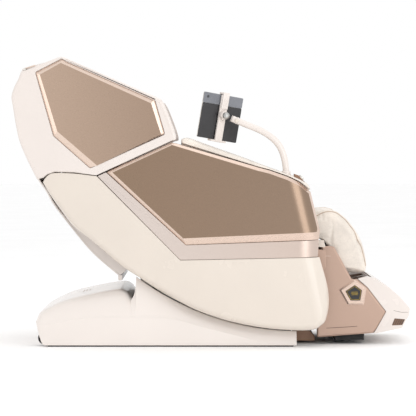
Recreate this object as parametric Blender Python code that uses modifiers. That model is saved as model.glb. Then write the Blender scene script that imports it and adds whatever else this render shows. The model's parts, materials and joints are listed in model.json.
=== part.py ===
"""Full-body massage chair: a sled base, a seat and back that slide along an arc on it, a swinging
leg rest with a sliding foot unit, a massage carriage behind the back pad, and a tablet arm.

The chair faces +X, +Y is to the sitter's left, and +Z is up. The origin is on the floor, in the
middle of the bounding box. Metres.
"""

import math

import bmesh
import bpy
from mathutils import Matrix, Vector

# The body slides on rails that are arcs about this point of the XZ plane
ARC_X = 0.358
ARC_Z = 1.183
FLANGE_R = 1.1205
RAIL_R_IN = 1.1240
RAIL_R_OUT = 1.1460
SHOE_R = 1.1235
WEB_R = 1.1130

# Leg rest pivot
LEG_X = 0.432
LEG_Z = 0.359

# Layers across the width, as distances from the middle plane
BACK_COVER_LOW_Y = 0.301
BACK_COVER_TOP_Y = 0.364
FLANGE_IN_Y = 0.330
FLANGE_OUT_Y = 0.362
WEB_IN_Y = 0.326
SKIN_IN_Y = 0.3675
SHELL_OUT_Y = 0.410
ARM_PANEL_OUT_Y = 0.4025
STRIP_OUT_Y = 0.4065
ARM_IN_Y = 0.262
ARM_WALL_Y = 0.345
SHOULDER_IN_Y = 0.300
SEAT_HALF = 0.258
CALF_HALF = 0.2265

# Back pad: a line on its front surface, its lower end and its direction
BACK_X = -0.170
BACK_Z = 0.420
BACK_U = Vector((-0.563, 0.0, 0.826)).normalized()
BACK_N = Vector((0.826, 0.0, 0.563)).normalized()

GAP = 0.0003
SEGMENTS = 24

# name: (colour, roughness, metallic)
FINISHES = {
    "cream_gloss": ((0.80, 0.75, 0.69), 0.28, 0.0),
    "cream_light": ((0.84, 0.79, 0.75), 0.30, 0.0),
    "champagne": ((0.58, 0.45, 0.36), 0.35, 0.7),
    "strip_metal": ((0.66, 0.58, 0.52), 0.28, 0.8),
    "satin_bronze": ((0.40, 0.31, 0.24), 0.38, 0.7),
    "taupe_gloss": ((0.22, 0.16, 0.11), 0.25, 0.1),
    "leather_cream": ((0.74, 0.66, 0.58), 0.55, 0.0),
    "leather_brown": ((0.16, 0.09, 0.06), 0.60, 0.0),
    "black_plastic": ((0.02, 0.02, 0.02), 0.50, 0.0),
    "black_rubber": ((0.015, 0.015, 0.015), 0.80, 0.0),
    "steel_black": ((0.03, 0.03, 0.03), 0.45, 0.3),
    "steel_zinc": ((0.55, 0.55, 0.55), 0.35, 0.9),
    "glass_black": ((0.01, 0.01, 0.012), 0.08, 0.0),
}


def clear_scene():
    """Removes every object, so that the part starts from an empty scene."""
    for obj in list(bpy.data.objects):
        bpy.data.objects.remove(obj, do_unlink=True)


def finish_material(finish):
    """The Principled material of one finish, made once."""
    material = bpy.data.materials.get(finish)
    if material is not None:
        return material
    colour, roughness, metallic = FINISHES[finish]
    material = bpy.data.materials.new(finish)
    material.use_nodes = True
    shader = material.node_tree.nodes["Principled BSDF"]
    shader.inputs["Base Color"].default_value = (*colour, 1.0)
    shader.inputs["Roughness"].default_value = roughness
    shader.inputs["Metallic"].default_value = metallic
    material.diffuse_color = (*colour, 1.0)
    return material


def as_mesh_object(source, name):
    """Turns an object with its modifiers into a plain welded mesh object in world space."""
    bpy.context.view_layer.update()
    graph = bpy.context.evaluated_depsgraph_get()
    mesh = bpy.data.meshes.new_from_object(source.evaluated_get(graph))
    matrix = source.matrix_world.copy()
    bpy.data.objects.remove(source, do_unlink=True)
    work = bmesh.new()
    work.from_mesh(mesh)
    bmesh.ops.transform(work, matrix=matrix, verts=work.verts)
    bmesh.ops.remove_doubles(work, verts=work.verts, dist=0.00001)
    bmesh.ops.recalc_face_normals(work, faces=work.faces)
    work.to_mesh(mesh)
    work.free()
    mesh.materials.clear()
    result = bpy.data.objects.new(name, mesh)
    bpy.context.scene.collection.objects.link(result)
    return result


def with_bevel(obj, width, segments=2, angle=0.6):
    """Rounds the sharp edges of a mesh object and applies the result."""
    modifier = obj.modifiers.new("round", "BEVEL")
    modifier.width = width
    modifier.segments = segments
    modifier.limit_method = "ANGLE"
    modifier.angle_limit = angle
    return as_mesh_object(obj, obj.name)


def slab(name, outline, y_low, y_high, bevel=0.0, segments=2):
    """A solid with an outline in the XZ plane, lying between two Y values."""
    curve = bpy.data.curves.new(name, "CURVE")
    curve.dimensions = "2D"
    curve.fill_mode = "BOTH"
    curve.extrude = (y_high - y_low) / 2
    spline = curve.splines.new("POLY")
    spline.points.add(len(outline) - 1)
    for point, (x, z) in zip(spline.points, outline):
        point.co = (x, z, 0.0, 1.0)
    spline.use_cyclic_u = True
    guide = bpy.data.objects.new(name, curve)
    guide.rotation_euler = (math.pi / 2, 0.0, 0.0)
    guide.location = (0.0, (y_low + y_high) / 2, 0.0)
    bpy.context.scene.collection.objects.link(guide)
    solid = as_mesh_object(guide, name)
    if bevel:
        solid = with_bevel(solid, bevel, segments)
    return solid


def rounded_slab(name, outline, y_in, y_out, width, segments=2, both=False):
    """A slab whose rim is rounded on its y_out face only, or on both faces."""
    solid = slab(name, outline, min(y_in, y_out), max(y_in, y_out))
    work = bmesh.new()
    work.from_mesh(solid.data)
    bmesh.ops.dissolve_limit(work, angle_limit=0.001, verts=work.verts, edges=work.edges)
    rim = []
    for edge in work.edges:
        level = all(abs(v.co.y - y_out) < 0.00001 for v in edge.verts)
        if both:
            level = level or all(abs(v.co.y - y_in) < 0.00001 for v in edge.verts)
        if level and len(edge.link_faces) == 2 and edge.calc_face_angle() > 0.5:
            rim.append(edge)
    bmesh.ops.bevel(work, geom=rim, offset=width, segments=segments, affect="EDGES",
                    profile=0.5)
    work.to_mesh(solid.data)
    work.free()
    return solid


def inset_loop(points, distance):
    """The closed outline moved inwards by a distance, corner by corner."""
    count = len(points)
    area = 0.0
    for i in range(count):
        x0, z0 = points[i]
        x1, z1 = points[(i + 1) % count]
        area += x0 * z1 - x1 * z0
    side = 1.0 if area > 0 else -1.0
    moved = []
    for i in range(count):
        here = Vector(points[i])
        into = (here - Vector(points[i - 1])).normalized()
        away = (Vector(points[(i + 1) % count]) - here).normalized()
        normal_in = Vector((-into.y, into.x)) * side
        normal_out = Vector((-away.y, away.x)) * side
        middle = (normal_in + normal_out).normalized()
        reach = distance / max(middle.dot(normal_in), 0.4)
        moved.append((here.x + middle.x * reach, here.y + middle.y * reach))
    return moved


def box(name, low, high, bevel=0.0, segments=2):
    """A box between two corners."""
    mesh = bpy.data.meshes.new(name)
    work = bmesh.new()
    bmesh.ops.create_cube(work, size=1.0)
    size = [high[i] - low[i] for i in range(3)]
    centre = [(high[i] + low[i]) / 2 for i in range(3)]
    bmesh.ops.scale(work, vec=size, verts=work.verts)
    bmesh.ops.translate(work, vec=centre, verts=work.verts)
    work.to_mesh(mesh)
    work.free()
    solid = bpy.data.objects.new(name, mesh)
    bpy.context.scene.collection.objects.link(solid)
    if bevel:
        solid = with_bevel(solid, bevel, segments)
    return solid


def rod(name, start, end, radius, segments=SEGMENTS, end_radius=None):
    """A cylinder or cone between two points."""
    start = Vector(start)
    end = Vector(end)
    axis = end - start
    mesh = bpy.data.meshes.new(name)
    work = bmesh.new()
    top = radius if end_radius is None else end_radius
    bmesh.ops.create_cone(work, cap_ends=True, segments=segments, radius1=radius,
                          radius2=top, depth=axis.length)
    turn = Vector((0.0, 0.0, 1.0)).rotation_difference(axis).to_matrix().to_4x4()
    place = Matrix.Translation((start + end) / 2) @ turn
    bmesh.ops.transform(work, matrix=place, verts=work.verts)
    work.to_mesh(mesh)
    work.free()
    solid = bpy.data.objects.new(name, mesh)
    bpy.context.scene.collection.objects.link(solid)
    return solid


def tube(name, points, radius, resolution=2):
    """A bent round bar along a smooth line through the points."""
    curve = bpy.data.curves.new(name, "CURVE")
    curve.dimensions = "3D"
    curve.bevel_depth = radius
    curve.bevel_resolution = resolution
    curve.use_fill_caps = True
    spline = curve.splines.new("POLY")
    spline.points.add(len(points) - 1)
    for point, place in zip(spline.points, points):
        point.co = (*place, 1.0)
    guide = bpy.data.objects.new(name, curve)
    bpy.context.scene.collection.objects.link(guide)
    return as_mesh_object(guide, name)


def boolean(target, tool, operation):
    """Joins or cuts two mesh objects, applies it, and removes the tool."""
    name = target.name
    modifier = target.modifiers.new(operation.lower(), "BOOLEAN")
    modifier.operation = operation
    modifier.solver = "EXACT"
    modifier.object = tool
    result = as_mesh_object(target, name)
    bpy.data.objects.remove(tool, do_unlink=True)
    result.name = name
    return result


def join(target, *tools):
    for tool in tools:
        target = boolean(target, tool, "UNION")
    return target


def cut(target, *tools):
    for tool in tools:
        target = boolean(target, tool, "DIFFERENCE")
    return target


def mirrored(source, name):
    """The same solid on the other side of the middle plane."""
    mesh = source.data.copy()
    work = bmesh.new()
    work.from_mesh(mesh)
    bmesh.ops.scale(work, vec=(1.0, -1.0, 1.0), verts=work.verts)
    bmesh.ops.reverse_faces(work, faces=work.faces)
    work.to_mesh(mesh)
    work.free()
    solid = bpy.data.objects.new(name, mesh)
    bpy.context.scene.collection.objects.link(solid)
    return solid


def arc(radius, start, end, count, centre=(ARC_X, ARC_Z)):
    """Points on a circle of the XZ plane; angles in degrees from straight down, positive to -X."""
    points = []
    for i in range(count):
        angle = math.radians(start + (end - start) * i / (count - 1))
        x = centre[0] - radius * math.sin(angle)
        z = centre[1] - radius * math.cos(angle)
        points.append((x, z))
    return points


def arc_angle(x, z):
    """The angle of a point about the arc centre, in degrees from straight down, positive to -X."""
    return math.degrees(math.atan2(ARC_X - x, ARC_Z - z))


def inset_line(points, distance):
    """The open line moved sideways, to the left of its direction for a positive distance."""
    moved = []
    for i, (x, z) in enumerate(points):
        before = Vector(points[max(i - 1, 0)])
        after = Vector(points[min(i + 1, len(points) - 1)])
        along = (after - before).normalized()
        moved.append((x - along.y * distance, z + along.x * distance))
    return moved


def back_point(s, offset, y=0.0):
    """A point s along the back and offset in front of the back pad's front surface."""
    base = Vector((BACK_X, y, BACK_Z))
    return base + BACK_U * s + BACK_N * offset


def back_outline(corners):
    """The XZ outline of corners given as (s, offset)."""
    outline = []
    for s, offset in corners:
        point = back_point(s, offset)
        outline.append((point.x, point.z))
    return outline


BODIES = {}


def add_body(name, location):
    """An empty on a joint's axis, which carries the pieces that move with it."""
    empty = bpy.data.objects.new("axis_" + name, None)
    empty.empty_display_size = 0.05
    empty.location = location
    bpy.context.scene.collection.objects.link(empty)
    BODIES[name] = empty


def finished(obj, finish, body):
    """Gives a piece its material and its parent, and shades its round faces smooth."""
    obj.data.materials.clear()
    obj.data.materials.append(finish_material(finish))
    for polygon in obj.data.polygons:
        polygon.use_smooth = True
    obj.data.set_sharp_from_angle(angle=math.radians(35))
    bpy.context.view_layer.update()
    empty = BODIES[body]
    obj.parent = empty
    obj.matrix_parent_inverse = empty.matrix_world.inverted()
    return obj


def pair(obj, finish, body, stem):
    """Finishes a right-hand piece and its mirrored left-hand twin."""
    obj.name = stem + "_right"
    finished(mirrored(obj, stem + "_left"), finish, body)
    return finished(obj, finish, body)


# ---------------------------------------------------------------- base

FLOOR_GAP = 0.0055
HOOD_FRONT_X = -0.3355


def flange_outline():
    """Side of the base: its top is an arc under the body, its rear end has a hollow fillet."""
    top = arc(FLANGE_R, arc_angle(-0.313, 0.287), 0.7, 12)
    front = [(0.344, 0.039), (0.337, FLOOR_GAP)]
    rear = [(-0.335, FLOOR_GAP), (-0.335, 0.190), (-0.321, 0.209), (-0.314, 0.240)]
    return top + front + rear


def side_cover():
    cover = rounded_slab("cover", flange_outline(), -FLANGE_IN_Y, -FLANGE_OUT_Y, 0.006, 2)
    return pair(cover, "cream_gloss", "base", "base_side_cover")


def hood_outline():
    return [
        (-0.674, FLOOR_GAP), (-0.697, 0.012), (-0.711, 0.052), (-0.723, 0.101), (-0.718, 0.122),
        (-0.705, 0.140), (-0.653, 0.168), (-0.600, 0.190), (-0.535, 0.206), (-0.469, 0.222),
        (-0.400, 0.231), (-0.368, 0.232), (-0.3355, 0.205), (-0.3355, FLOOR_GAP),
    ]


def rear_hood():
    """The hump behind the body, a shell open at the front and below."""
    outer = hood_outline()
    hood = slab("base_rear_hood", outer, -FLANGE_OUT_Y, FLANGE_OUT_Y, 0.006, 2)
    inner = [
        (-0.668, -0.02), (-0.691, 0.014), (-0.705, 0.052), (-0.716, 0.101), (-0.712, 0.118),
        (-0.700, 0.134), (-0.650, 0.161), (-0.597, 0.183), (-0.533, 0.199), (-0.468, 0.215),
        (-0.400, 0.224), (-0.371, 0.225), (-0.3425, 0.199), (-0.30, 0.199), (-0.30, -0.02),
    ]
    hood = cut(hood, slab("inside", inner, -0.355, 0.355))
    for side in (-1, 1):
        low = (-0.75, min(side * 0.276, side * 0.322), -0.02)
        high = (-0.655, max(side * 0.276, side * 0.322), 0.064)
        hood = cut(hood, box("wheel_slot", low, high))
    hood = cut(hood, box("module_window", (-0.76, 0.0297, 0.0567), (-0.69, 0.1303, 0.0953)))
    return finished(hood, "cream_gloss", "base")


def base_frame():
    """A welded frame on the floor strips, with axle stubs for the transport wheels."""
    frame = box("base_frame", (-0.660, -0.320, FLOOR_GAP), (-0.620, 0.320, 0.034))
    for x_low, x_high in ((-0.400, -0.360), (-0.060, -0.020), (0.300, 0.336)):
        frame = join(frame, box("cross", (x_low, -0.3245, FLOOR_GAP), (x_high, 0.3245, 0.032)))
    for side in (-1, 1):
        y_low = min(side * 0.225, side * 0.265)
        y_high = max(side * 0.225, side * 0.265)
        frame = join(frame, box("beam", (-0.650, y_low, FLOOR_GAP + 0.001), (0.320, y_high, 0.031)))
        lug_low = min(side * 0.262, side * 0.274)
        lug_high = max(side * 0.262, side * 0.274)
        frame = join(frame, box("lug", (-0.6905, lug_low, 0.022), (-0.632, lug_high, 0.044)))
        stub = rod("stub", (WHEEL_X, side * 0.270, WHEEL_Z), (WHEEL_X, side * 0.3235, WHEEL_Z),
                   0.005, 16)
        frame = join(frame, stub)
        frame = join(frame, *guide_rail(side))
    channels = ((-0.6560, -0.6240), (-0.3960, -0.3640), (-0.0560, -0.0240), (0.3040, 0.3320))
    for x_low, x_high in channels:
        frame = cut(frame, box("channel", (x_low, -0.2980, -0.01), (x_high, 0.2980, 0.0270)))
    for side in (-1, 1):
        y_in, y_out = sorted((side * 0.2290, side * 0.2610))
        frame = cut(frame, box("channel", (-0.6460, y_in, -0.02), (0.3160, y_out, 0.0262)))
    return finished(frame, "steel_black", "base")


def guide_rail(side):
    """The curved rail inside one flange and the posts that stand it on the cross members."""
    outline = arc(RAIL_R_IN, 34.0, 2.0, 14) + arc(RAIL_R_OUT, 2.0, 34.0, 14)
    y_in, y_out = sorted((side * 0.3040, side * 0.3297))
    pieces = [slab("rail", outline, y_in, y_out)]
    y_in, y_out = sorted((side * 0.3080, side * 0.3240))
    for x, height in ((-0.055, 0.121), (0.302, 0.050)):
        pieces.append(box("post", (x, y_in, 0.0280), (x + 0.028, y_out, height)))
    pieces.append(slab("leg", [(-0.385, 0.0290), (-0.365, 0.0290), (-0.225, 0.2080),
                               (-0.250, 0.2200)], y_in, y_out))
    return pieces


WHEEL_X = -0.690
WHEEL_Z = 0.032
WHEEL_R = 0.027


def transport_wheel():
    wheel = rod("wheel", (WHEEL_X, -0.312, WHEEL_Z), (WHEEL_X, -0.286, WHEEL_Z), WHEEL_R, 24)
    wheel = with_bevel(wheel, 0.004, 1)
    bore = rod("bore", (WHEEL_X, -0.33, WHEEL_Z), (WHEEL_X, -0.27, WHEEL_Z), 0.0056, 16)
    wheel = cut(wheel, bore)
    wheel.name = "transport_wheel_right"
    twin = mirrored(wheel, "transport_wheel_left")
    finished(twin, "black_rubber", "wheel_left")
    return finished(wheel, "black_rubber", "wheel_right")


def foot_strip():
    strip = box("strip", (-0.672, -0.352, 0.0), (0.330, -0.300, 0.0052))
    return pair(strip, "black_rubber", "base", "foot_strip")


def front_bracket():
    outline = [
        (0.3455, 0.011), (0.424, 0.011), (0.424, 0.030), (0.402, 0.054), (0.382, 0.059),
        (0.3455, 0.057),
    ]
    bracket = slab("base_front_bracket", outline, -0.200, 0.200, 0.002, 1)
    return finished(bracket, "black_plastic", "base")


def air_pump():
    """Pump block with two ribs and an outlet spigot."""
    pump = box("air_pump", (-0.610, -0.110, 0.0345), (-0.450, 0.090, 0.140), 0.006, 2)
    for x in (-0.570, -0.530, -0.490):
        pump = join(pump, box("rib", (x - 0.004, -0.105, 0.13), (x + 0.004, 0.085, 0.150)))
    pump = join(pump, rod("spigot", (-0.455, -0.01, 0.09), (-0.425, -0.01, 0.09), 0.009, 16))
    return finished(pump, "black_plastic", "base")


SWITCH_Y = 0.054
SWITCH_X = -0.7155
SWITCH_Z = 0.076


def power_module():
    """Mains inlet and switch pocket in one moulding, behind the window of the rear hood."""
    block = box("power_inlet", (-0.7150, 0.0300, 0.0570), (-0.6750, 0.1300, 0.0950), 0.0015, 1)
    socket = box("socket", (-0.73, 0.088, 0.064), (-0.695, 0.118, 0.088))
    block = cut(block, socket)
    for y in (0.095, 0.103, 0.111):
        pin = box("pin", (-0.705, y - 0.001, 0.074), (-0.690, y + 0.001, 0.080))
        block = join(block, pin)
    pocket = box("pocket", (-0.73, SWITCH_Y - 0.0125, 0.0655), (-0.700, SWITCH_Y + 0.0125, 0.0865))
    block = cut(block, pocket)
    finished(block, "black_plastic", "base")


def power_switch():
    """Rocker that tilts about a horizontal axle across the pocket."""
    half = 0.0115
    outline = [
        (-0.7190, SWITCH_Z - 0.0085), (-0.7168, SWITCH_Z), (-0.7190, SWITCH_Z + 0.0085),
        (-0.7085, SWITCH_Z + 0.0065), (-0.7045, SWITCH_Z), (-0.7085, SWITCH_Z - 0.0065),
    ]
    rocker = slab("power_switch", outline, SWITCH_Y - half, SWITCH_Y + half, 0.0006, 1)
    return finished(rocker, "black_plastic", "power_switch")


# Recline actuator on the left, along the chord of the arc
ACT_BASE = Vector((-0.250, 0.277, 0.241))
ACT_END = Vector((0.100, 0.277, 0.200))
ACT_DIR = (ACT_END - ACT_BASE).normalized()


def recline_actuator():
    """A fixed tube with its motor, and a rod whose cross pin drives the body's slotted bracket."""
    start = ACT_BASE - ACT_DIR * 0.010
    end = ACT_BASE + ACT_DIR * 0.318
    barrel = rod("recline_actuator_tube", start, end, 0.017, 20)
    motor = rod("motor", ACT_BASE + ACT_DIR * 0.010, ACT_BASE + Vector((0.010, 0, 0.042)),
                0.014, 20)
    barrel = join(barrel, motor)
    mount = box("mount", (-0.262, 0.2850, 0.222), (-0.226, 0.3035, 0.240))
    barrel = join(barrel, mount)
    bore = rod("bore", ACT_BASE + ACT_DIR * 0.012, end + ACT_DIR * 0.02, 0.0098, 20)
    barrel = cut(barrel, bore)
    finished(barrel, "black_plastic", "base")
    inner = rod("recline_actuator_rod", ACT_BASE + ACT_DIR * 0.020, ACT_END, 0.0085, 20)
    eye = rod("eye", ACT_END - Vector((0, 0.009, 0)), ACT_END + Vector((0, 0.009, 0)), 0.012, 20)
    pin = rod("pin", ACT_END - Vector((0, 0.005, 0)), ACT_END + Vector((0, 0.0205, 0)), 0.0055, 16)
    inner = join(inner, eye, pin)
    return finished(inner, "steel_zinc", "recline_rod")


# ---------------------------------------------------------------- chair shells

# Lower rear and underside of the side shell, from the seam under the shoulder to the front
SHELL_EDGE = [
    (-0.640, 0.7085), (-0.663, 0.7000), (-0.680, 0.6840), (-0.688, 0.6720), (-0.654, 0.613),
    (-0.602, 0.541), (-0.559, 0.488), (-0.481, 0.427), (-0.378, 0.338), (-0.310, 0.293), (-0.204, 0.229), (-0.098, 0.167),
    (0.010, 0.124), (0.119, 0.095), (0.228, 0.077), (0.348, 0.069), (0.413, 0.073),
    (0.443, 0.091), (0.461, 0.112), (0.475, 0.179), (0.467, 0.255), (0.435, 0.364),
]


def web_outline():
    """Inner part of the side shell: it clears the flange's arc and the leg rest's sweep."""
    lower = arc(WEB_R, 64.0, -2.5, 14)
    front = [(0.425, 0.085), (0.440, 0.115), (0.452, 0.180), (0.444, 0.250), (0.415, 0.360)]
    top = [(0.395, 0.440), (0.395, 0.520), (0.270, 0.560), (-0.120, 0.700), (-0.470, 0.680)]
    return lower + front + top


def side_shell():
    """Lower outer skin, inner web and front post in one moulding, hollow from the inside."""
    outline = SHELL_EDGE + [(0.430, 0.3665), (-0.131, 0.3555), (-0.468, 0.6955)]
    skin = rounded_slab("shell", outline, -SKIN_IN_Y, -SHELL_OUT_Y + 0.004, 0.014, 3)
    web = slab("web", web_outline(), -SKIN_IN_Y - 0.0005, -WEB_IN_Y)
    shell = join(skin, web)
    post = slab("post", [(0.272, 0.405), (0.408, 0.405), (0.4195, 0.470), (0.392, 0.615),
                         (0.352, 0.648), (0.272, 0.676)],
                -SKIN_IN_Y + 0.0005, -ARM_IN_Y, 0.008, 1)
    shell = join(shell, post)
    low = arc(1.0990, 60.0, -1.5, 10)
    low += [(0.425, 0.120), (0.430, 0.250), (0.408, 0.350), (-0.126, 0.340), (-0.452, 0.672)]
    shell = cut(shell, slab("hollow", low, -0.3960, -0.3000))
    high = [(-0.428, 0.668), (-0.114, 0.370), (0.380, 0.381), (0.380, 0.500), (0.262, 0.548),
            (-0.122, 0.688)]
    shell = cut(shell, slab("hollow", high, -0.3610, -0.3000))
    core = box("core", (0.284, -0.3570, 0.300), (0.384, -0.2720, 0.628))
    shell = cut(shell, core)
    return pair(shell, "cream_gloss", "chair", "side_shell")


def trim_strip():
    outline = [
        (-0.466, 0.6965), (-0.131, 0.3560), (0.4285, 0.3670), (0.4320, 0.4400), (0.412, 0.4370),
        (-0.109, 0.4175), (-0.432, 0.7130),
    ]
    strip = rounded_slab("strip", outline, -SKIN_IN_Y - 0.0008, -STRIP_OUT_Y, 0.004, 1)
    return pair(strip, "strip_metal", "chair", "trim_strip")


def arm_panel():
    outline = [
        (-0.164, 0.8340), (-0.4300, 0.7130), (-0.1088, 0.4180), (0.412, 0.4375), (0.4325, 0.4405),
        (0.4355, 0.478), (0.3980, 0.634), (0.353, 0.672), (0.303, 0.695), (0.232, 0.720),
        (0.186, 0.731),
    ]
    panel = rounded_slab("panel", outline, -SKIN_IN_Y - 0.0008, -ARM_PANEL_OUT_Y, 0.012, 2)
    panel = cut(panel, slab("hollow", inset_loop(outline, 0.014), -0.3900, -0.3000))
    return pair(panel, "taupe_gloss", "chair", "arm_panel")


def arm_line(x):
    """Height of the underside of the armrest pad."""
    return 0.816 - 0.352 * (x + 0.120)


def armrest_pad():
    """The padded top of the arm, which is also the roof of the forearm trough."""
    upper = [
        (-0.128, 0.8325), (0.186, 0.7345), (0.232, 0.7235), (0.303, 0.6985), (0.353, 0.6755),
        (0.3940, 0.6435), (0.3960, 0.6560), (0.382, 0.6720), (0.330, 0.698), (0.228, 0.734),
        (0.120, 0.775), (0.000, 0.817), (-0.100, 0.853), (-0.128, 0.850),
    ]
    lower = [
        (-0.128, arm_line(-0.128)), (0.272, arm_line(0.272)), (0.352, 0.6500), (0.3860, 0.6250),
        (0.3910, 0.6480), (0.3500, 0.6800), (0.2280, 0.7280), (-0.1000, 0.8460), (-0.128, 0.8440),
    ]
    pad = rounded_slab("pad", upper, -ARM_IN_Y, -0.398, 0.004, 1)
    return join(pad, slab("lower", lower, -0.3660, -ARM_IN_Y - 0.0010))


def armrest_pads():
    """Left pad plain; the right one carries the seats of the tablet arm and of the control pod."""
    plain = armrest_pad()
    pair_left = mirrored(plain, "armrest_pad_left")
    finished(pair_left, "leather_cream", "chair")
    seat = rod("seat", (TAB_X, TAB_Y, 0.60), (TAB_X, TAB_Y, 0.80), 0.0193, 24)
    plain = cut(plain, seat)
    pod_seat = box("pod_seat", (0.3327, -0.3645, 0.60), (0.3723, -0.2735, 0.80))
    plain = cut(plain, pod_seat)
    plain.name = "armrest_pad_right"
    return finished(plain, "leather_cream", "chair")


def arm_liner():
    """Air-cushion lining of the forearm trough: outer wall and floor in one L section."""
    wall = slab("liner", [
        (-0.118, arm_line(-0.118) - 0.1150), (0.2700, arm_line(0.2700) - 0.1150),
        (0.2700, arm_line(0.2700) - 0.0035), (-0.118, arm_line(-0.118) - 0.0035)],
        -0.3667, -ARM_WALL_Y)
    floor = slab("floor", [
        (-0.118, arm_line(-0.118) - 0.1150), (0.2700, arm_line(0.2700) - 0.1150),
        (0.2700, arm_line(0.2700) - 0.0950), (-0.118, arm_line(-0.118) - 0.0950)],
        -ARM_WALL_Y - 0.002, -ARM_IN_Y)
    lip = slab("lip", [
        (-0.118, arm_line(-0.118) - 0.2300), (0.2700, arm_line(0.2700) - 0.1900),
        (0.2700, arm_line(0.2700) - 0.0960), (-0.118, arm_line(-0.118) - 0.0960)],
        -ARM_IN_Y - 0.018, -ARM_IN_Y)
    liner = join(wall, floor, lip)
    return pair(liner, "leather_brown", "chair", "arm_liner")


# Rear silhouette of the back cover, from its top corner down to its lip
REAR_EDGE = [
    (-0.774, 1.133), (-0.787, 1.096), (-0.805, 1.060), (-0.817, 1.019), (-0.811, 0.976),
    (-0.800, 0.906), (-0.787, 0.845), (-0.771, 0.802), (-0.753, 0.761), (-0.714, 0.683),
    (-0.682, 0.636), (-0.651, 0.576), (-0.609, 0.519), (-0.528, 0.418), (-0.473, 0.360),
    (-0.386, 0.286),
]
COVER_THICK = 0.009


def back_cover():
    """Curved rear skin with a top cap; its lower part is narrower and runs into the base."""
    upper = REAR_EDGE[:13]
    upper_in = inset_line(upper, COVER_THICK)
    cap = [(-0.7450, 1.1120), (-0.6260, 1.1600), (-0.6300, 1.1740)]
    cover = slab("back_cover", upper + upper_in[:0:-1] + cap, -BACK_COVER_TOP_Y,
                 BACK_COVER_TOP_Y, 0.004, 1)
    lower = [(-0.6400, 0.5610)] + REAR_EDGE[12:15] + [(-0.3960, 0.2950)]
    root_out = inset_line(lower, 0.0030)[:1]
    root_in = inset_line(lower, 0.0065)[:1]
    lower_in = inset_line(lower, COVER_THICK - 0.001)
    lip = [(-0.3860, 0.2860), (-0.3860, 0.2680), (-0.3710, 0.2680), (-0.3710, 0.2920)]
    outline = root_out + lower[1:] + lip + lower_in[:0:-1] + root_in
    tail = slab("tail", outline, -BACK_COVER_LOW_Y, BACK_COVER_LOW_Y)
    cover = join(cover, tail)
    return finished(cover, "cream_gloss", "chair")


SHOULDER_BASE = [(-0.223, 1.016), (-0.198, 0.992), (-0.148, 0.860), (-0.168, 0.8395)]
HEX_MOUTH = [
    (-0.612, 1.172), (-0.718, 1.118), (-0.645, 0.861), (-0.497, 0.729), (-0.195, 0.867),
    (-0.236, 1.010),
]


def shoulder_shell():
    """Upper side shell: outer skin, rim to the back cover, wing at the head, hexagonal recess."""
    rear = inset_line(REAR_EDGE[:10], 0.0035)
    lower = [(-0.6875, 0.690), (-0.667, 0.705), (-0.640, 0.714), (-0.4715, 0.7005)]
    top = [(-0.614, 1.1800), (-0.600, 1.1775)]
    skin = rounded_slab("skin", SHOULDER_BASE[::-1] + top[::-1] + rear + lower,
                        -SKIN_IN_Y + 0.001, -SHELL_OUT_Y, 0.010, 3)
    inner_rear = inset_line(REAR_EDGE[:10], 0.0180)
    inner = [
        (-0.600, 1.1740), (-0.625, 1.1580), (-0.742, 1.109), *inner_rear[1:],
        (-0.640, 0.725), (-0.4715, 0.7080), (-0.200, 0.8320), (-0.158, 0.860), (-0.205, 0.985),
        (-0.232, 1.010),
    ]
    rim = slab("rim", inner, -SKIN_IN_Y, -SHOULDER_IN_Y)
    hollow = [
        (-0.606, 1.1480), (-0.720, 1.095), (-0.790, 1.010), (-0.760, 0.860), (-0.680, 0.720),
        (-0.640, 0.733), (-0.4735, 0.7160), (-0.210, 0.8390), (-0.175, 0.860), (-0.218, 0.978),
    ]
    shell = join(skin, rim)
    shell = cut(shell, slab("hollow", hollow, -0.396, -0.20))
    shell = cut(shell, slab("mouth", HEX_MOUTH, -0.50, -0.4030))
    return pair(shell, "cream_light", "chair", "shoulder_shell")


def shoulder_panel():
    """Flat six-sided panel lying in the recess."""
    centre_x = sum(x for x, _ in HEX_MOUTH) / 6
    centre_z = sum(z for _, z in HEX_MOUTH) / 6
    outline = []
    for x, z in HEX_MOUTH:
        outline.append((centre_x + (x - centre_x) * 0.955, centre_z + (z - centre_z) * 0.955))
    panel = slab("panel", outline, -0.4070, -0.4034, 0.0012, 1)
    return pair(panel, "satin_bronze", "chair", "shoulder_panel")


# ---------------------------------------------------------------- seat and back structure

def shoe_outline(x_low, x_high):
    """A guide shoe: its sole is an arc that rides on the rail."""
    start = math.degrees(math.asin((ARC_X - x_low) / SHOE_R))
    end = math.degrees(math.asin((ARC_X - x_high) / SHOE_R))
    return arc(SHOE_R, start, end, 4) + arc(SHOE_R - 0.040, end, start, 3)


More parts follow.
